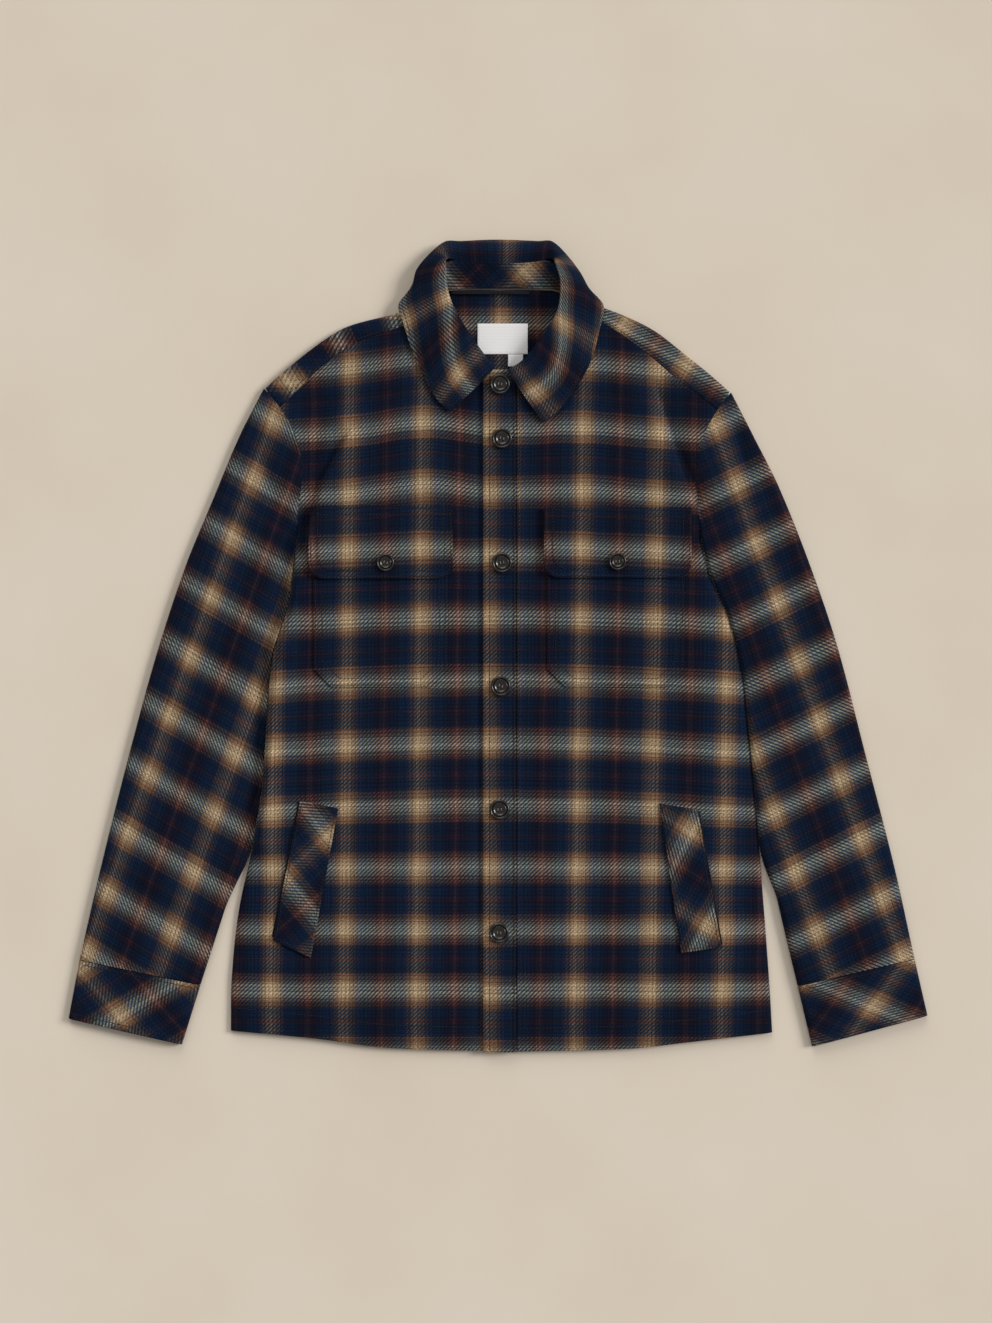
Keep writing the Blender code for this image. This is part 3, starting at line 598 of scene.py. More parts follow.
def thread_colour(tree, at, repeat, chart):
    """The colour of the thread at a place across its system, a little lighter or darker by thread."""
    thread = maths(tree, "SNAP", at, THREAD * MM)
    off = maths(tree, "PINGPONG", thread, repeat / 2 * MM)
    ramp = add(tree, "ValToRGB", {0: maths(tree, "DIVIDE", off, repeat / 2 * MM)})
    stops = ramp.color_ramp.elements
    for stripe in chart[1:-1]:
        stops.new(stripe.at / (repeat / 2))
    for stop, stripe in zip(stops, chart):
        stop.position = stripe.at / (repeat / 2)
        stop.color = display(stripe.colour)
    own = add(tree, "TexWhiteNoise", {"W": thread}, noise_dimensions="1D").outputs["Value"]
    tone = add(tree, "MapRange", {"Value": own, "To Min": 0.9, "To Max": 1.23}).outputs[0]
    beside = maths(tree, "PINGPONG", thread, LINE_PITCH / 2 * MM)
    line = add(tree, "MapRange", {"Value": beside, "From Max": THREAD * MM, "To Min": 0.75}).outputs[0]
    lined = maths(tree, "MULTIPLY", tone, line)
    return add(tree, "HueSaturation", {"Value": lined, "Color": ramp.outputs[0]}).outputs[0]


def flannel_look(name):
    look, tree, shader = new_look(name, "#2A2C33", 0.95, {"Specular IOR Level": 0.1, "Sheen Weight": 0.03})
    place = add(tree, "UVMap", {}, uv_map="cut").outputs["UV"]
    wander = add(tree, "TexNoise", {"Vector": place, "Scale": 24.0, "Detail": 1.0}).outputs["Color"]
    centred = add(tree, "VectorMath", {0: wander, 1: (0.5, 0.5, 0.5)}, operation="SUBTRACT").outputs[0]
    drift = add(tree, "VectorMath", {0: centred, "Scale": 2.4 * MM}, operation="SCALE").outputs[0]
    lying = add(tree, "VectorMath", {0: place, 1: drift}, operation="ADD").outputs[0]
    axes = add(tree, "SeparateXYZ", {0: lying})
    warp = thread_colour(tree, axes.outputs["X"], WARP_REPEAT, WARP)
    weft = thread_colour(tree, axes.outputs["Y"], WEFT_REPEAT, WEFT)
    diagonal = maths(tree, "SUBTRACT", axes.outputs["X"], axes.outputs["Y"])
    wave = maths(tree, "PINGPONG", diagonal, TWILL / 2 * MM)
    on_top = add(tree, "MapRange", {"Value": wave, "From Min": 0.25 * TWILL / 2 * MM,
                                    "From Max": 0.75 * TWILL / 2 * MM, "To Min": 0.26, "To Max": 0.74},
                 interpolation_type="SMOOTHSTEP").outputs[0]
    crossed, darker = mixed(tree, on_top, warp, weft), mixed(tree, 1.0, warp, weft, "DARKEN")
    woven = mixed(tree, DARK_COVER, crossed, darker)
    nap = add(tree, "TexNoise", {"Vector": place, "Scale": 900.0, "Detail": 2.0}).outputs["Fac"]
    fleck = add(tree, "MapRange", {"Value": nap, "From Min": 0.3, "From Max": 0.7,
                                   "To Min": 0.8, "To Max": 1.2}).outputs[0]
    brushed = add(tree, "HueSaturation", {"Value": fleck, "Color": woven}).outputs[0]
    colour = add(tree, "Gamma", {"Color": brushed, "Gamma": BLEND}).outputs[0]
    tree.links.new(colour, shader.inputs["Base Color"])
    relief = maths(tree, "ADD", on_top, nap)
    bump = add(tree, "Bump", {"Height": relief, "Distance": 0.25 * MM, "Strength": 0.6}).outputs[0]
    tree.links.new(bump, shader.inputs["Normal"])
    return look


FLANNEL = flannel_look("flannel check")
print(f"flannel: {len(FLANNEL.node_tree.nodes)} shader nodes")

# %% [markdown]
# The trim's finishes are simpler. Buttons are cast polyester resin that copies horn: cloudy dark brown,
# half glossy, with a finer haze where the turning tool passed. The label and the loop are narrow woven
# goods, ribbed across. Sewing thread is twisted, so it is lighter and darker along its length. Ribs and
# twist are drawn a little coarser than they are, so that they show.

# %% Trim materials
def blend_by(tree, shader, share, dark, pale):
    """Colour a shader between two colours by a node's value from 0 to 1."""
    tree.links.new(mixed(tree, share, linear(dark), linear(pale)), shader.inputs["Base Color"])


def resin_look(name, dark, pale):
    look, tree, shader = new_look(name, dark, 0.28, {"Coat Weight": 0.25})
    place = add(tree, "TexCoord", {}).outputs["Object"]
    cloud = add(tree, "TexNoise", {"Vector": place, "Scale": 320.0, "Detail": 3.0, "Distortion": 1.5})
    blend_by(tree, shader, cloud.outputs["Fac"], dark, pale)
    haze = add(tree, "TexNoise", {"Vector": place, "Scale": 2200.0, "Detail": 2.0}).outputs["Fac"]
    rough = add(tree, "MapRange", {"Value": haze, "To Min": 0.2, "To Max": 0.42}).outputs[0]
    tree.links.new(rough, shader.inputs["Roughness"])
    return look


def ribbed_look(name, dark, pale, rib, roughness):
    look, tree, shader = new_look(name, pale, roughness, {"Specular IOR Level": 0.25})
    place = add(tree, "UVMap", {}, uv_map="cut").outputs["UV"]
    up = add(tree, "SeparateXYZ", {0: place}).outputs["Y"]
    wave = maths(tree, "PINGPONG", up, rib / 2 * MM)
    height = maths(tree, "DIVIDE", wave, rib / 2 * MM)
    fibre = add(tree, "TexNoise", {"Vector": place, "Scale": 1100.0, "Detail": 2.0}).outputs["Fac"]
    share = add(tree, "Mix", {0: 0.5, 2: height, 3: fibre}).outputs[0]
    blend_by(tree, shader, share, dark, pale)
    bump = add(tree, "Bump", {"Height": share, "Distance": 0.15 * MM, "Strength": 0.5}).outputs[0]
    tree.links.new(bump, shader.inputs["Normal"])
    return look


def twisted_look(name, dark, pale):
    look, tree, shader = new_look(name, dark, 0.65, {"Specular IOR Level": 0.3})
    place = add(tree, "TexCoord", {}).outputs["Object"]
    twist = add(tree, "TexNoise", {"Vector": place, "Scale": 1500.0, "Detail": 1.0}).outputs["Fac"]
    blend_by(tree, shader, twist, dark, pale)
    return look


BUTTON_RESIN = resin_look("horn-look resin", "#0C0907", "#221A14")
LABEL_SATIN = ribbed_look("label satin", "#D5D3D1", "#F0EFED", 1.5, 0.6)
# This near-black look colours the hanger loop and also the painted shadow bars beside the hip welts.
TAPE_AND_PAINTED_SHADOW = ribbed_look("loop tape and painted shadow", "#07080B", "#15171E", 1.5, 0.9)
SEWING_THREAD = twisted_look("sewing thread", "#06070A", "#171920")
# The button thread's pale colour is partly its own and partly painted highlight at the holes.
BUTTON_THREAD_AND_PAINTED_HIGHLIGHT = twisted_look("button thread and painted highlight", "#4C4640", "#8E867C")
print("trim: resin, satin, tape and two threads")

# %% [markdown]
# ## Panels
#
# Each panel repeats its solid's form on finer cells. Its cut says where its pale stripes fall: the
# warp's on the fronts, pockets and flaps run up the body, and the weft's match across them.

# %% Back and fronts
PALE_WARP = {"right": -76.0, "left": 82.0}  # x of a pale stripe on each front
PALE_WEFT = -97.0  # y of a pale band on the body
FLOOR = "floor"
Arch = namedtuple("Arch", "x width rise")
CHEST_ARCH = {"right": Arch(-76, 48, 8), "left": Arch(84, 45, 3)}  # bands bow up above the pockets
ARCH_FROM, ARCH_BLEND = 100, 70  # y where a change of the bands begins, and how soon it is whole
Lean = namedtuple("Lean", "slope y")
STRIPE_LEAN = {"right": Lean(0.0095, 130), "left": Lean(0.014, -30)}  # stripes lean to -X lower down
SIDE_DROOP, DROOP_AT, DROOP_FROM, DROOP_BLEND = 5.0, 190, -260, 120  # bands droop at the side seams
HEM_RISE, RISE_FROM, RISE_BLEND = 3.0, -250, 80  # and rise again at the hem


def on_body(side, band_shift=0.0):
    arch, lean = CHEST_ARCH[side], STRIPE_LEAN[side]

    def cut(u, v, point):
        bow = arch.rise * math.exp(-((point.x - arch.x) / arch.width) ** 2)
        bow *= smooth((point.y - ARCH_FROM) / ARCH_BLEND)
        droop = SIDE_DROOP * (point.x / DROOP_AT) ** 2 * smooth((point.y - DROOP_FROM) / DROOP_BLEND)
        rise = bow - droop + HEM_RISE * smooth((RISE_FROM - point.y) / RISE_BLEND)
        along_weft = point.x - PALE_WARP[side] - lean.slope * (point.y - lean.y)
        return along_weft, point.y - PALE_WEFT - band_shift - rise

    return cut


def make_back():
    corner = {"right": BACK_INSET, "left": -BACK_INSET}
    hem = {side: [(x + (corner[side] if i == 0 else 0), y + 1) for i, (x, y) in enumerate(HEM[side])]
           for side in HEM}
    seam = [armhole(side, YOKE_SEAM_AT, CURVED_SEAM) for side in SIDES]
    edge = {side: outer_edge(side, YOKE_SEAM_AT, BACK_INSET) for side in HEM}
    panel = coons(joined((lambda t: along(hem["right"], t), 0.5), (lambda t: along(hem["left"], 1 - t), 0.5)),
                  lambda u: lerp(seam[0], seam[1], u), edge["right"], edge["left"])

    def place(u, v):
        return panel(u, v).to_3d() + Vector((0, 0, CLOTH))

    made = cloth("back_cloth", Grid(even(70), even(80), place, on_body("right")), wall=CLOTH)
    lay(made, "back", FLANNEL, (0.56, 0.60))


def make_front(side):
    meet = PLACKET_RIGHT - SEAM if side == "right" else PLACKET_RIGHT + SEAM
    hem = [(x, y) for x, y in HEM[side][:-1]] + [(meet, HEM[side][-1].y)]
    neck = [(x, y) for x, y in NECKLINE[side]]
    if side == "right":
        neck = neck[:-1] + [(-16, 277.5), (meet, 276)]
    else:
        neck = neck[:-1] + [(meet, 277)]
    seam_gap = Vector((0, -CURVED_SEAM))
    centre = joined((lambda t: Vector((meet, lerp(hem[-1][1], neck[-1][1], t))), CENTRE_SHARE),
                    (lambda t: along(neck[::-1], t) + seam_gap * t, 1 - CENTRE_SHARE))
    panel = coons(lambda u: along(hem, u), lambda u: forward_seam(side, u, CURVED_SEAM),
                  outer_edge(side, FORWARD_SEAM_AT + CURVED_SEAM / ARMHOLE_RUN, 0), centre)

    def place(u, v):
        point = panel(u, v)
        return Vector((point.x, point.y, front_top(point.x, point.y, side)))

    rolled = [0, 0.0015, 0.003, 0.006, 0.010, 0.015, 0.021, 0.028, 0.036, 0.046]
    columns = rolled + [lerp(0.06, 1, t) for t in even(104)]
    made = cloth(f"front_{side}_cloth", Grid(columns, even(190), place, on_body(side)))
    lay(made, f"front_{side}", FLANNEL, (0.30, 0.70))


def make_placket():
    pale_warp, width = -9.0, PLACKET_RIGHT - SEAM - PLACKET_LEFT

    def place(u, v):
        x, y = lerp(PLACKET_LEFT, PLACKET_RIGHT - SEAM, u), lerp(PLACKET_FOOT, PLACKET_TOP, v)
        return Vector((x, y, PLACKET_FACE - PLACKET_EDGE_DROP * (2 * u - 1) ** 4))

    made = cloth("placket_cloth", Grid(even(16), even(220), place,
                                       lambda u, v, point: (point.x - pale_warp, point.y - PALE_WEFT)))
    lay(made, "placket", FLANNEL, (width * MM, 0.682))


make_back()
for wearer_side in SIDES:
    make_front(wearer_side)
make_placket()

# %% [markdown]
# The yoke lies flat under the shoulders and folds over each to its forward seam. Its two folded
# strips were cut at different places in the check.

# %% Yoke
OVER = 0.7  # share of a strip's rows that turn over the shoulder
NECK_PALE, STRIP_PALE = Edge(2.5, 322), Edge(125, 319)  # pale crossings in the neck and the left strip
STRIP_RUN = Vector((0.857, -0.516))  # the left strip's weft
STRIP_Y, STRIP_LENGTH, STRIP_START = 264, 191, 24.5  # the right strip's check


def make_yoke():
    wing, neck = 30, 26
    radius = SHOULDER_HEIGHT / 2
    columns = [("right", t) for t in even(wing)] + [("neck", t) for t in even(neck)][1:-1]
    columns += [("left", 1 - t) for t in even(wing)]
    width = len(columns) - 1
    seam = [armhole(side, YOKE_SEAM_AT, CURVED_SEAM) for side in SIDES]
    at_column = {u: column for u, column in zip(even(width), columns)}

    def rim(run, t):
        if run == "neck":
            return along(BACK_NECK, t)
        inward = forward_seam(run, t) - shoulder_fold(run, t)
        return shoulder_fold(run, t) + inward.normalized() * radius

    def arm_end(side, v):
        point = armhole(side, lerp(YOKE_SEAM_AT, 0, v), CURVED_SEAM)
        return point + (rim(side, 0) - armhole(side, 0, CURVED_SEAM)) * v**4 + Vector((0, SEAM * (1 - v)))

    plate = coons(lambda u: lerp(seam[0], seam[1], u) + Vector((0, SEAM)), lambda u: rim(*at_column[u]),
                  lambda v: arm_end("right", v), lambda v: arm_end("left", v))

    def flat(u, v):
        point = rim(*at_column[u]) if v == 1 else plate(u, v)
        return point.to_3d()

    def over(side):
        def place(u, v):
            fold, seam_line = shoulder_fold(side, u), forward_seam(side, u)
            inward = (seam_line - fold).normalized()
            if v > OVER:
                point = lerp(fold + inward * radius, seam_line, (v - OVER) / (1 - OVER))
                return Vector((point.x, point.y, SHOULDER_HEIGHT))
            turn = math.pi * v / OVER
            point = fold + inward * radius * (1 - math.sin(turn))
            return Vector((point.x, point.y, radius * (1 - math.cos(turn))))

        return place

    def inside_neck(u, v, point):
        return point.x - NECK_PALE.x, point.y - NECK_PALE.y

    def right_strip(u, v, point):
        return point.y - STRIP_Y, u * STRIP_LENGTH - STRIP_START

    def left_strip(u, v, point):
        off = point.to_2d() - Vector(STRIP_PALE)
        return off.dot(STRIP_RUN), off.dot(Vector((-STRIP_RUN.y, STRIP_RUN.x)))

    grids = [Grid(even(width), even(24), flat, inside_neck),
             Grid(even(wing), even(20), over("right"), right_strip),
             Grid(even(wing), even(20), over("left"), left_strip)]
    made = cloth("yoke_cloth", *grids, wall=CLOTH, closed=True)
    lay(made, "yoke", FLANNEL, (0.48, 0.24))


make_yoke()

# %% [markdown]
# A sleeve's check runs along its outer edge. Below, it goes on round the edge, so that the seam under
# the arm is the only place where it breaks. A cuff is cut on the bias, which lets its threads pull
# askew, so its two systems have an angle each.

# %% Sleeves and cuffs
Grain = namedtuple("Grain", "x y tilt shear")
SLEEVE_GRAIN = {"right": Grain(-265, 108, 19.3, -0.2), "left": Grain(258.5, 102.5, 19.4, 0.12)}
Bias = namedtuple("Bias", "x y weft warp")
CUFF_BIAS = {"right": Bias(-377, -368, 31, 131), "left": Bias(374.7, -359.3, -23, 54)}
TUBE_POINTS = 110


def sleeve_grain(side):
    grain, sign = SLEEVE_GRAIN[side], -1 if side == "right" else 1
    tilt = math.radians(grain.tilt)

    def cut_at(point):
        off = Vector((point.x - grain.x, point.y - grain.y))
        u = off.dot(Vector((math.cos(tilt), sign * math.sin(tilt))))
        v = off.dot(Vector((sign * math.sin(tilt), -math.cos(tilt)))) + grain.shear * u
        return Vector((u, v))

    return cut_at


def bias_grain(bias):
    """The cut round a pale crossing at x, y, where weft and warp run at two angles in degrees."""
    runs = [(math.cos(math.radians(turn)), math.sin(math.radians(turn))) for turn in (bias.weft, bias.warp)]
    to_cut = Matrix(runs).transposed().inverted()
    return lambda point: to_cut @ Vector((point.x - bias.x, point.y - bias.y))


def tube_loop(width, height):
    """(distance from the outer edge, 0, height) round a flattened tube's section."""
    near = [(step.inward, 0, step.top * height) for step in TUBE_EDGE]
    far = [(width - inward, 0, z) for inward, _, z in reversed(near)]
    middle = [(width * share, 0, height) for share in (0.35, 0.5, 0.65)]
    under = [(step.inward, 0, step.under * height) for step in TUBE_EDGE if step.under is not None]
    back = [(width - inward, 0, z) for inward, _, z in under] + [(width * 0.6, 0, 0), (width * 0.4, 0, 0)]
    edge = TUBE_EDGE_MIDDLE * height
    loop = [(0, 0, edge)] + near + middle + far + [(width, 0, edge)] + back + under[::-1]
    return loop + [loop[0]]


def tube(ring_at, height):
    """A tube's section and its point function: u goes round from the outer edge, v along the arm."""

    @functools.lru_cache(None)
    def section(v):
        ring = ring_at(v)
        width = math.dist((ring.out_x, ring.out_y), (ring.in_x, ring.in_y))
        loop = [along(tube_loop(width, height), t) for t in even(TUBE_POINTS)]
        loop[-1] = loop[0]
        turned = max(range(TUBE_POINTS), key=lambda i: loop[i].x)
        return ring, width, loop, turned

    def place(u, v):
        ring, width, loop, _ = section(v)
        inward, z = loop[round(u * TUBE_POINTS)].x, max(0.0, loop[round(u * TUBE_POINTS)].z)
        point = ring_point(ring, inward / width)
        share = z / height
        z += fold_height(point.x, point.y) * smooth((share - FLAT_FROM) / (1 - FLAT_FROM))
        z = max(z + min(0.0, tuck_height(point.x, point.y)) * share, min(z, TUBE_LOW))
        return Vector((point.x, point.y, z))

    return section, place


def make_tube(name, ring_at, height, rings, cut_at):
    section, place = tube(ring_at, height)

    def cut(u, v, point):
        ring, _, _, turned = section(v)
        if round(u * TUBE_POINTS) <= turned:
            return cut_at(point)
        return cut_at(Vector((ring.out_x, ring.out_y))) * 2 - cut_at(point)

    return cloth(name, Grid(even(TUBE_POINTS), even(rings), place, cut), closed=True)


def sleeve_ring(side, v):
    rows = SLEEVE[side]
    outer = along([(row.out_x, row.out_y) for row in rows], v)
    inner = along([(row.in_x, row.in_y) for row in rows], v)
    bow = along([(i / (len(rows) - 1) * 100, row.bow) for i, row in enumerate(rows)], v).y
    beside = across(SIDE_EDGE[side], inner.y, 1)
    away = -1 if side == "right" else 1
    gap = (inner.x - beside) * away
    lying = beside + away * lerp(max(gap, TOUCH), TOUCH, smooth((NEAR - gap) / NEAR_FADE))
    return Ring(outer.x, outer.y, lying, inner.y, bow)


def make_sleeve(side):
    made = make_tube(f"sleeve_{side}_cloth", lambda v: sleeve_ring(side, v), SLEEVE_HEIGHT, 150,
                     sleeve_grain(side))
    lay(made, f"sleeve_{side}", FLANNEL, (0.30, 0.62))


def cuff_ring(side, v):
    last, end = sleeve_ring(side, 1), CUFF_END[side]
    depth = math.dist((last.out_x, last.out_y), (end.out_x, end.out_y))
    share = lerp(2 * SEAM / depth, 1, v)
    return Ring(*(lerp(a, b, share) for a, b in zip(last, end)))


def make_cuff(side):
    made = make_tube(f"cuff_{side}_cloth", lambda v: cuff_ring(side, v), CUFF_HEIGHT, 16,
                     bias_grain(CUFF_BIAS[side]))
    lay(made, f"cuff_{side}", FLANNEL, (0.25, 0.06))


for wearer_side in SIDES:
    make_sleeve(wearer_side)
    make_cuff(wearer_side)

# %% [markdown]
# ## Collar
#
# The leaf rolls over the stand. Its check is charted by distance from the middle of the back along
# the roll, and by distance from the roll line, from which the weft drifts towards the points.

# %% Collar
LEAF_PALE_WARP = 11.0
ROLL_INSIDE = 3.0  # how far the leaf goes on down inside the neck
COLLAR_ROWS, COLLAR_COLUMNS = 30, 200
LEAF_STRETCH = 1.3
BACK_DRIFT, SIDE_DRIFT, POINT_DRIFT = -18, 3, 30  # how far the weft lies from the roll line
SIDE_FROM, SIDE_BLEND, POINT_FROM, POINT_BLEND = 50, 65, 131, 80  # reach from the middle of the back
STAND_START = 0.07  # share of the leaf's length at which the stand begins


def at_station(column, share):
    """A column of the collar table at a share of its stations, smoothed between rows."""
    place = share * (len(COLLAR) - 1)
    i = min(len(COLLAR) - 2, int(place))
    s = place - i

    def row(k):
        value = getattr(COLLAR[min(len(COLLAR) - 1, max(0, k))], column)
        return Vector(value) if isinstance(value, tuple) else value

    a, b, c, d = (row(i + k) for k in (-1, 0, 1, 2))
    return (b * 2 + (c - a) * s + (a * 2 - b * 5 + c * 4 - d) * s**2 + (b * 3 - c * 3 + d - a) * s**3) * 0.5


@functools.lru_cache(None)
def leaf_rib(u):
    """The leaf's points across it at one place round the neck, from the roll to the free edge."""
    tuck = min(1.0, max(0.0, at_station("tuck", u)))
    roll, over, free = (at_station(column, u) for column in ("roll", "over", "free"))
    crown = lerp(roll, over, 0.5) + Vector((0, 0, lerp(CROWN_FLAT, CROWN_TUCKED, tuck)))
    under = lerp(over, free, 0.5 - 0.25 * tuck)
    under.z = lerp(under.z + 0.8, free.z + 0.3, tuck)
    inside = roll + (at_station("seam", u) - roll).normalized() * ROLL_INSIDE
    return [inside, roll, crown, over, under, free]


def leaf_point(u, v):
    point = along(leaf_rib(u), v)
    return Vector((point.x, point.y, max(point.z, SEAM)))


def make_collar():
    columns = even(COLLAR_COLUMNS)
    middle = COLLAR_COLUMNS // 2
    steps = [(leaf_rib(a)[3].to_2d() - leaf_rib(b)[3].to_2d()).length for a, b in zip(columns, columns[1:])]
    round_neck = {u: sum(steps[middle:i]) - sum(steps[i:middle]) for i, u in enumerate(columns)}

    def leaf_cut(u, v, point):
        rib = leaf_rib(u)
        from_roll = v * sum((a - b).length for a, b in zip(rib, rib[1:])) - ROLL_INSIDE
        reach = abs(round_neck[u])
        drift = lerp(BACK_DRIFT, SIDE_DRIFT, smooth((reach - SIDE_FROM) / SIDE_BLEND))
        drift += POINT_DRIFT * smooth((reach - POINT_FROM) / POINT_BLEND)
        return round_neck[u] - LEAF_PALE_WARP, (from_roll - drift) * LEAF_STRETCH

    leaf = cloth("collar_leaf_cloth", Grid(columns, even(COLLAR_ROWS), leaf_point, leaf_cut))
    lay(leaf, "collar_leaf", FLANNEL, (0.48, 0.085))

    def stand_point(u, v):
        share = lerp(STAND_START, 1 - STAND_START, u)
        seam, roll = at_station("seam", share), at_station("roll", share)
        top = roll - (roll - seam).normalized() * at_station("short", share)
        return lerp(seam, top, v)

    stand_grain = bias_grain(Bias(28, 374, -45, 45))
    stand = cloth("collar_stand_cloth", Grid(even(120), even(10), stand_point,
                                             lambda u, v, point: stand_grain(point)))
    lay(stand, "collar_stand", FLANNEL, (0.34, 0.028))


make_collar()

# %% [markdown]
# ## Pockets
#
# What lies on a front is made from the front's own points, moved out. A flap's lower corner towards the
# wearer's right lifts off its pocket.

# %% Pockets, flaps and welts
WELT_BIAS = {"right": Bias(-167.8, -189.8, -50, 41), "left": Bias(191.8, -184.2, 61, 149)}
FLAP_LIFT, LIFTED = {"right": 2.2, "left": 1.2}, 0.3  # height of the lift, and share of the width it takes
FLAP_SHIFT = 7  # how much higher a flap was cut in the check than the front below it
POCKET_TOP, FLAP_TOP, WELT_TOP = 2 * SEAM + POCKET, 4 * SEAM + POCKET + TRIM, SEAM + TRIM


def on_front(side, edges, lift):
    def place(u, v):
        point = edges(u, v)
        return Vector((point.x, point.y, front_top(point.x, point.y, side) + lift))

    return place


def patch_edges(patch, corner_cut):
    def point(u, v):
        x = lerp(patch.x0, patch.x1, u)
        foot = patch.foot + corner_cut(min(x - patch.x0, patch.x1 - x), patch.corner)
        return Vector((x, lerp(patch.top, foot, v)))

    return point


def chamfer(from_side, size):
    return max(0.0, size - from_side)


def rounded(from_side, size):
    away = max(0.0, 1 - from_side / size)
    return size * (1 - math.sqrt(1 - away * away))


def welt_edges(side):
    corners = [Vector(corner) for corner in WELT[side]]
    return lambda u, v: lerp(lerp(corners[0], corners[1], u), lerp(corners[3], corners[2], u), v)


def on_pocket(side, edges):
    """A flap's place on its pocket, with its lifted corner."""
    lying = on_front(side, edges, FLAP_TOP)

    def place(u, v):
        return lying(u, v) + Vector((0, 0, FLAP_LIFT[side] * smooth((LIFTED - u) / LIFTED) * v * v))

    return place


def make_pockets(side):
    pocket, flap = CHEST_POCKET[side], CHEST_FLAP[side]
    cut_at = pocket.corner / (pocket.x1 - pocket.x0)
    fine = sorted(set(even(44) + [cut_at, 1 - cut_at]))
    lying = on_front(side, patch_edges(pocket, chamfer), POCKET_TOP)
    made = cloth(f"chest_pocket_{side}_cloth", Grid(fine, even(56), lying, on_body(side)), wall=POCKET)
    lay(made, f"chest_pocket_{side}", FLANNEL, (0.138, 0.178))

    turn = flap.corner / (flap.x1 - flap.x0)
    corner = [turn * (1 - math.cos(math.pi / 2 * t)) for t in even(10)]
    fine = corner + [lerp(turn, 1 - turn, t) for t in even(40)][1:-1] + [1 - t for t in reversed(corner)]
    made = cloth(f"chest_flap_{side}_cloth",
                 Grid(fine, even(26), on_pocket(side, patch_edges(flap, rounded)),
                      on_body(side, FLAP_SHIFT)))
    lay(made, f"chest_flap_{side}", FLANNEL, (0.148, 0.075))

    welt_grain = bias_grain(WELT_BIAS[side])
    made = cloth(f"hip_welt_{side}_cloth",
                 Grid(even(14), even(52), on_front(side, welt_edges(side), WELT_TOP),
                      lambda u, v, point: welt_grain(point)))
    lay(made, f"hip_welt_{side}", FLANNEL, (0.042, 0.155))


for wearer_side in SIDES:
    make_pockets(wearer_side)

# %% [markdown]
# ## Buttons and neck trim
#
# A button is turned: a dish inside a round rim, with four holes that its thread passes through. Each was
# sewn on at a slightly different turn.

# %% Buttons
BUTTON_PROFILE = [(0.0, 1.5), (0.44, 1.5), (0.5, 1.7), (0.55, 2.2), (0.6, 2.4), (0.64, 2.3), (0.68, 1.8),
                  (0.71, 1.5), (0.74, 1.6), (0.79, 2.6), (0.84, 3.1), (0.89, 3.2), (0.94, 3.0), (0.98, 2.4),
                  (1.0, 1.8), (1.0, 1.4), (0.96, 0.8), (0.86, 0.3), (0.0, 0.0)]
HOLE, HOLE_OFF = 1.9, 1.65  # width of a hole, and how far it lies from both middle lines
TURN = 0.4  # radians to either side


def drilled_button(diameter):
    mesh = bmesh.new()
    verts = [mesh.verts.new((share * diameter / 2 * MM, 0, z * MM)) for share, z in BUTTON_PROFILE]
    edges = [mesh.edges.new(pair) for pair in zip(verts, verts[1:])]
    bmesh.ops.spin(mesh, geom=verts + edges, cent=(0, 0, 0), axis=(0, 0, 1), angle=2 * math.pi, steps=48,
                   use_merge=True)
    bmesh.ops.remove_doubles(mesh, verts=mesh.verts, dist=WELD)
    bmesh.ops.recalc_face_normals(mesh, faces=mesh.faces)
    turned = to_object("turned", mesh)
    mesh = bmesh.new()
    for x, y in ((-1, -1), (-1, 1), (1, -1), (1, 1)):
        at = Matrix.Translation(Vector((x * HOLE_OFF, y * HOLE_OFF, 1)) * MM)
        bmesh.ops.create_cone(mesh, cap_ends=True, segments=16, radius1=HOLE / 2 * MM, radius2=HOLE / 2 * MM,
                              depth=6 * MM, matrix=at)
    drills = to_object("drills", mesh)
    holes = turned.modifiers.new("holes", "BOOLEAN")
    holes.object = drills
    holes.solver = "EXACT"
    data = bpy.data.meshes.new_from_object(turned.evaluated_get(bpy.context.evaluated_depsgraph_get()))
    for tool in (turned, drills):
        bpy.data.objects.remove(tool)
    data.set_sharp_from_angle(angle=math.radians(48))
    print(f"button {diameter} mm: {len(data.polygons)} faces")
    return data


Seated = namedtuple("Seated", "name node place data seat turn")


def seated_buttons():
    shaken = random.Random(7)
    front, pocket = drilled_button(FRONT_BUTTON), drilled_button(POCKET_BUTTON)
    rows = [Seated(f"front_button_{i}_turned", f"front_button_{i}", place, front, PLACKET_FACE + SEAM,
                   shaken.uniform(-TURN, TURN)) for i, place in enumerate(FRONT_BUTTONS, 1)]
    for side, place in POCKET_BUTTONS.items():
        seat = front_top(place.x, place.y, side) + FLAP_TOP + SEAM
        rows.append(Seated(f"pocket_button_{side}_turned", f"pocket_button_{side}", place, pocket, seat,
                           shaken.uniform(-TURN, TURN)))
    return rows


def seat_matrix(button):
    at = Vector((button.place.x, button.place.y, button.seat))
    return Matrix.Translation(at * MM) @ Matrix.Rotation(button.turn, 4, "Z")


def make_button(button):
    data = button.data.copy()
    data.transform(seat_matrix(button))
    made = bpy.data.objects.new(button.name, data)
    bpy.context.collection.objects.link(made)
    join(made, BUTTON_RESIN, button.node)


BUTTONS = seated_buttons()
for button_row in BUTTONS:
    make_button(button_row)


# %% [markdown]
# The label, the size tab and the hanger loop lie on the inside of the yoke. The loop stands up a little
# in the middle.

# %% Neck trim
def neck_piece(name, patch, columns, rows, wall, arch=0.0):
    def place(u, v):
        lift = CLOTH + SEAM + wall + arch * math.sin(math.pi * u)
        return Vector((lerp(patch.x0, patch.x1, u), lerp(patch.top, patch.foot, v), lift))

    return cloth(name, Grid(even(columns), even(rows), place, lambda u, v, point: point.to_2d()), wall=wall)


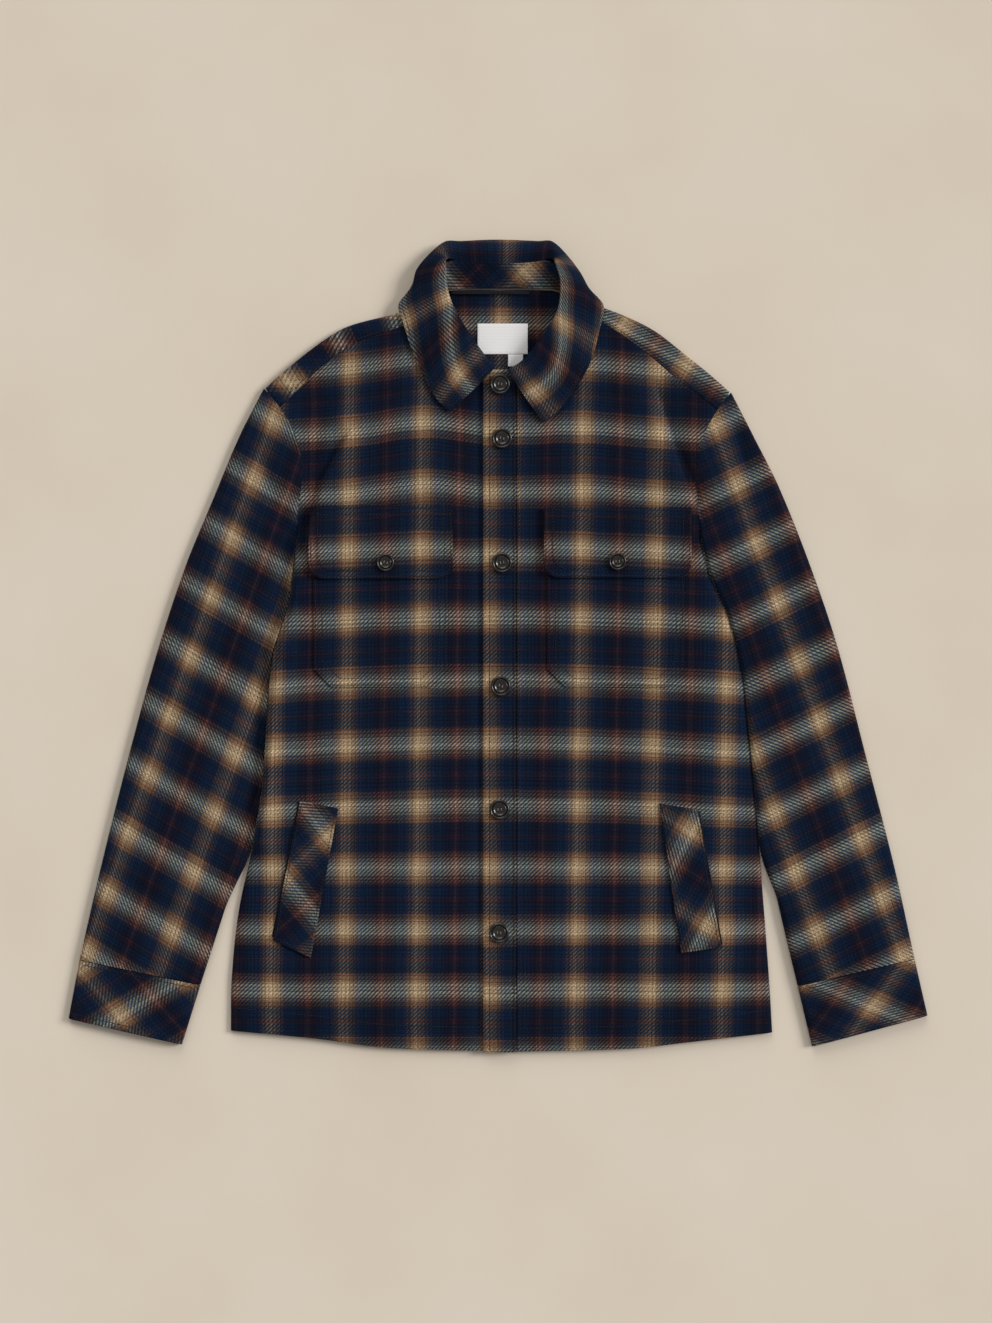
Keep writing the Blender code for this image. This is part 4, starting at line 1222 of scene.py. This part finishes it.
label = neck_piece("neck_label_cloth", LABEL, 24, 14, LABEL_CLOTH)
lay(label, "neck_label", LABEL_SATIN, (0.0505, 0.031))
tab = neck_piece("size_tab_cloth", SIZE_TAB, 8, 8, LABEL_CLOTH)
lay(tab, "size_tab", LABEL_SATIN, (0.0151, 0.0124))
# The loop's near-black colour is partly its own and partly painted shade from the collar seam just above it.
loop = neck_piece("hanger_loop_tape", LOOP, 30, 4, LOOP_CLOTH, LOOP_ARCH)
join(loop, TAPE_AND_PAINTED_SHADOW, "hanger_loop")

# %% [markdown]
# ## Stitches
#
# A lockstitch shows as a row of short dashes that sit a little sunk in the cloth. Each dash is a small
# six-sided bar laid along its row, and each row follows the point function of the piece it is sewn in.
# The bars are thicker than real thread, so that the rows show.

# %% Stitches
STITCH, STITCH_PITCH, STITCH_RADIUS, BUTTON_THREAD_RADIUS = 2.3, 3.3, 0.32, 0.42


def bar(mesh, start, end, radius):
    run = end - start
    at = Matrix.Translation((start + end) / 2 * MM) @ run.to_track_quat("Z", "Y").to_matrix().to_4x4()
    bmesh.ops.create_cone(mesh, cap_ends=True, segments=6, radius1=radius * MM, radius2=radius * MM,
                          depth=run.length * MM, matrix=at)


def sew(mesh, row):
    """Walk along a row of points and lay a dash at each pitch."""
    walked, due = 0.0, STITCH_PITCH / 2
    for a, b in zip(row, row[1:]):
        length = (b - a).length
        while due <= walked + length:
            at = lerp(a, b, (due - walked) / length)
            half = (b - a).normalized() * STITCH / 2
            bar(mesh, at - half, at + half, STITCH_RADIUS)
            due += STITCH_PITCH
        walked += length


# %% [markdown]
# Patches are sewn round three sides, twice, and a flap along its top as well. The placket has a row
# near each edge, the hem one row, and the collar, cuffs, welts and shoulder seams a row along each edge.
# A narrow dark line of the same bars beside each hip welt is painted shadow, standing in for the shade in the
# pocket's opening.

# %% Stitch rows
HEM_DEPTH = 23.0
POCKET_SHADOW_WIDTH = 1.5  # width of the painted shadow line beside a welt
PATCH_ROWS = (2.0, 8.5)  # how far the two rows lie inside a patch
THREAD_LEVEL = 1.75  # height of the thread over a button's seat


def inset(patch, by):
    return Patch(patch.x0 + by, patch.x1 - by, patch.top, patch.foot + by, patch.corner)


def three_sides(place):
    return ([place(0, t) for t in even(40)] + [place(t, 1) for t in even(70)][1:]
            + [place(1, 1 - t) for t in even(40)][1:])


def pocket_rows(side):
    rows = []
    for by in PATCH_ROWS:
        pocket = patch_edges(inset(CHEST_POCKET[side], by), chamfer)
        rows.append(three_sides(on_front(side, pocket, POCKET_TOP)))
        rows.append(three_sides(on_pocket(side, patch_edges(inset(CHEST_FLAP[side], by), rounded))))
    flap = on_pocket(side, patch_edges(CHEST_FLAP[side], rounded))
    rows += [[flap(lerp(0.02, 0.98, t), v) for t in even(60)] for v in (0.04, 0.13)]
    welt = on_front(side, welt_edges(side), WELT_TOP)
    rows += [[welt(u, lerp(0.015, 0.985, t)) for t in even(50)] for u in (0.06, 0.94)]
    rows += [[welt(lerp(0.08, 0.92, t), v) for t in even(20)] for v in (0.02, 0.98)]
    return rows


def edge_rows(side):
    far, near = HEM[side][0].x, (PLACKET_LEFT if side == "right" else PLACKET_RIGHT)
    rows = [[]]
    for t in even(90):
        x = lerp(far * 0.975, near, t)
        y = across(HEM[side], x, 0) + HEM_DEPTH
        rows[0].append(Vector((x, y, front_top(x, y, side))))
    rows.append([])
    for t in even(60):
        point = lerp(shoulder_fold(side, t), forward_seam(side, t), 0.86)
        rows[1].append(Vector((point.x, point.y, SHOULDER_HEIGHT)))
    section, place = tube(lambda v: cuff_ring(side, v), CUFF_HEIGHT)
    for v in (0.06, 0.9):
        turned = section(v)[3]
        rows.append([place(i / TUBE_POINTS, v) for i in range(3, turned - 2)])
    return rows


def placket_rows():
    rows = []
    for x in (PLACKET_LEFT + 6.5, PLACKET_RIGHT - 3):
        rows.append([Vector((x, y, PLACKET_FACE)) for y in (PLACKET_FOOT + 2, PLACKET_TOP - 2)])
    return rows


def collar_rows():
    rows = [[leaf_point(lerp(0.012, 0.988, t), 0.93) for t in even(300)]]
    return rows + [[leaf_point(u, lerp(0.2, 0.93, t)) for t in even(40)] for u in (0.012, 0.988)]


def make_thread():
    mesh = bmesh.new()
    rows = placket_rows() + collar_rows()
    for side in SIDES:
        rows += pocket_rows(side) + edge_rows(side)
    for row in rows:
        sew(mesh, row)
    join(to_object("seam_stitches", mesh), SEWING_THREAD)
    mesh = bmesh.new()
    # Painted shadow: dark bars laid beside each hip welt where the pocket's opening lies in shade.
    for side in SIDES:
        welt = on_front(side, welt_edges(side), POCKET_SHADOW_WIDTH / 4)
        painted_shadow = [welt(-0.02, lerp(0.01, 0.98, t)) for t in even(40)]
        for start, end in zip(painted_shadow, painted_shadow[1:]):
            bar(mesh, start, end, POCKET_SHADOW_WIDTH / 2)
    join(to_object("painted_pocket_shadows", mesh), TAPE_AND_PAINTED_SHADOW)
    mesh = bmesh.new()
    # Button thread bars, pale partly as painted highlight.
    for button in BUTTONS:
        for x in (-HOLE_OFF, HOLE_OFF):
            ends = [seat_matrix(button) @ (Vector((x, y, THREAD_LEVEL)) * MM) / MM
                    for y in (-HOLE_OFF, HOLE_OFF)]
            bar(mesh, *ends, BUTTON_THREAD_RADIUS)
    join(to_object("button_thread_and_painted_highlight", mesh), BUTTON_THREAD_AND_PAINTED_HIGHLIGHT)


make_thread()

# %% [markdown]
# ## Floor, light and camera
#
# The floor is plain and pale. The key light is soft and comes from the right, so shadows fall to the left
# of each edge. A weaker and broader light, as from a window, comes from the collar's side. The camera looks
# straight down.

# %% Floor, light and camera
def make_floor():
    mesh = bmesh.new()
    bmesh.ops.create_grid(mesh, x_segments=1, y_segments=1, size=6)
    floor = to_object(FLOOR, mesh)
    look, tree, shader = new_look("pale floor", "#D5C8B6", 0.9, {})
    place = add(tree, "TexCoord", {}).outputs["Object"]
    mottle = add(tree, "TexNoise", {"Vector": place, "Scale": 5.0, "Detail": 3.0}).outputs["Fac"]
    blend_by(tree, shader, mottle, "#CFC0AC", "#DCD1C2")
    floor.data.materials.append(look)
    floor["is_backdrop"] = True


def make_sun(name, azimuth, elevation, softness, strength):
    """A distant light from a compass angle, measured from +X towards +Y, and a height, in degrees."""
    data = bpy.data.lights.new(name, "SUN")
    data.angle = math.radians(softness)
    data.energy = strength
    made = bpy.data.objects.new(name, data)
    flat = math.cos(math.radians(elevation))
    towards = Vector((flat * math.cos(math.radians(azimuth)), flat * math.sin(math.radians(azimuth)),
                      math.sin(math.radians(elevation))))
    made.rotation_euler = towards.to_track_quat("Z", "Y").to_euler()
    bpy.context.collection.objects.link(made)


VIEW_MIDDLE = Vector((-0.002, -0.0155, 0.0))
VIEW_HEIGHT, VIEW_TALL, SENSOR = 3.0, 1.323, 36.0

make_floor()
make_sun("key", 16, 29, 22, 2.7)
make_sun("window", 100, 24, 50, 1.45)
world = bpy.data.worlds.new("room")
world.use_nodes = True
world.node_tree.nodes["Background"].inputs["Color"].default_value = (1, 1, 1, 1)
world.node_tree.nodes["Background"].inputs["Strength"].default_value = 0.36
bpy.context.scene.world = world
camera = bpy.data.objects.new("camera", bpy.data.cameras.new("camera"))
camera.data.lens = SENSOR * VIEW_HEIGHT / VIEW_TALL
camera.data.sensor_width = SENSOR
camera.location = VIEW_MIDDLE + Vector((0, 0, VIEW_HEIGHT))
bpy.context.collection.objects.link(camera)
bpy.context.scene.camera = camera
bpy.context.scene.view_settings.view_transform = "Standard"
print(f"camera: {VIEW_HEIGHT} m above the floor, lens {camera.data.lens:.0f} mm")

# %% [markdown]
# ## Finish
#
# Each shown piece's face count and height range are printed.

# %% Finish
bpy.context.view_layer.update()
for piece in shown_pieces():
    heights = [corner[2] / MM for corner in piece.bound_box]
    print(f"{piece.name}: {len(piece.data.polygons)} faces, {min(heights):.1f} to {max(heights):.1f} mm high")
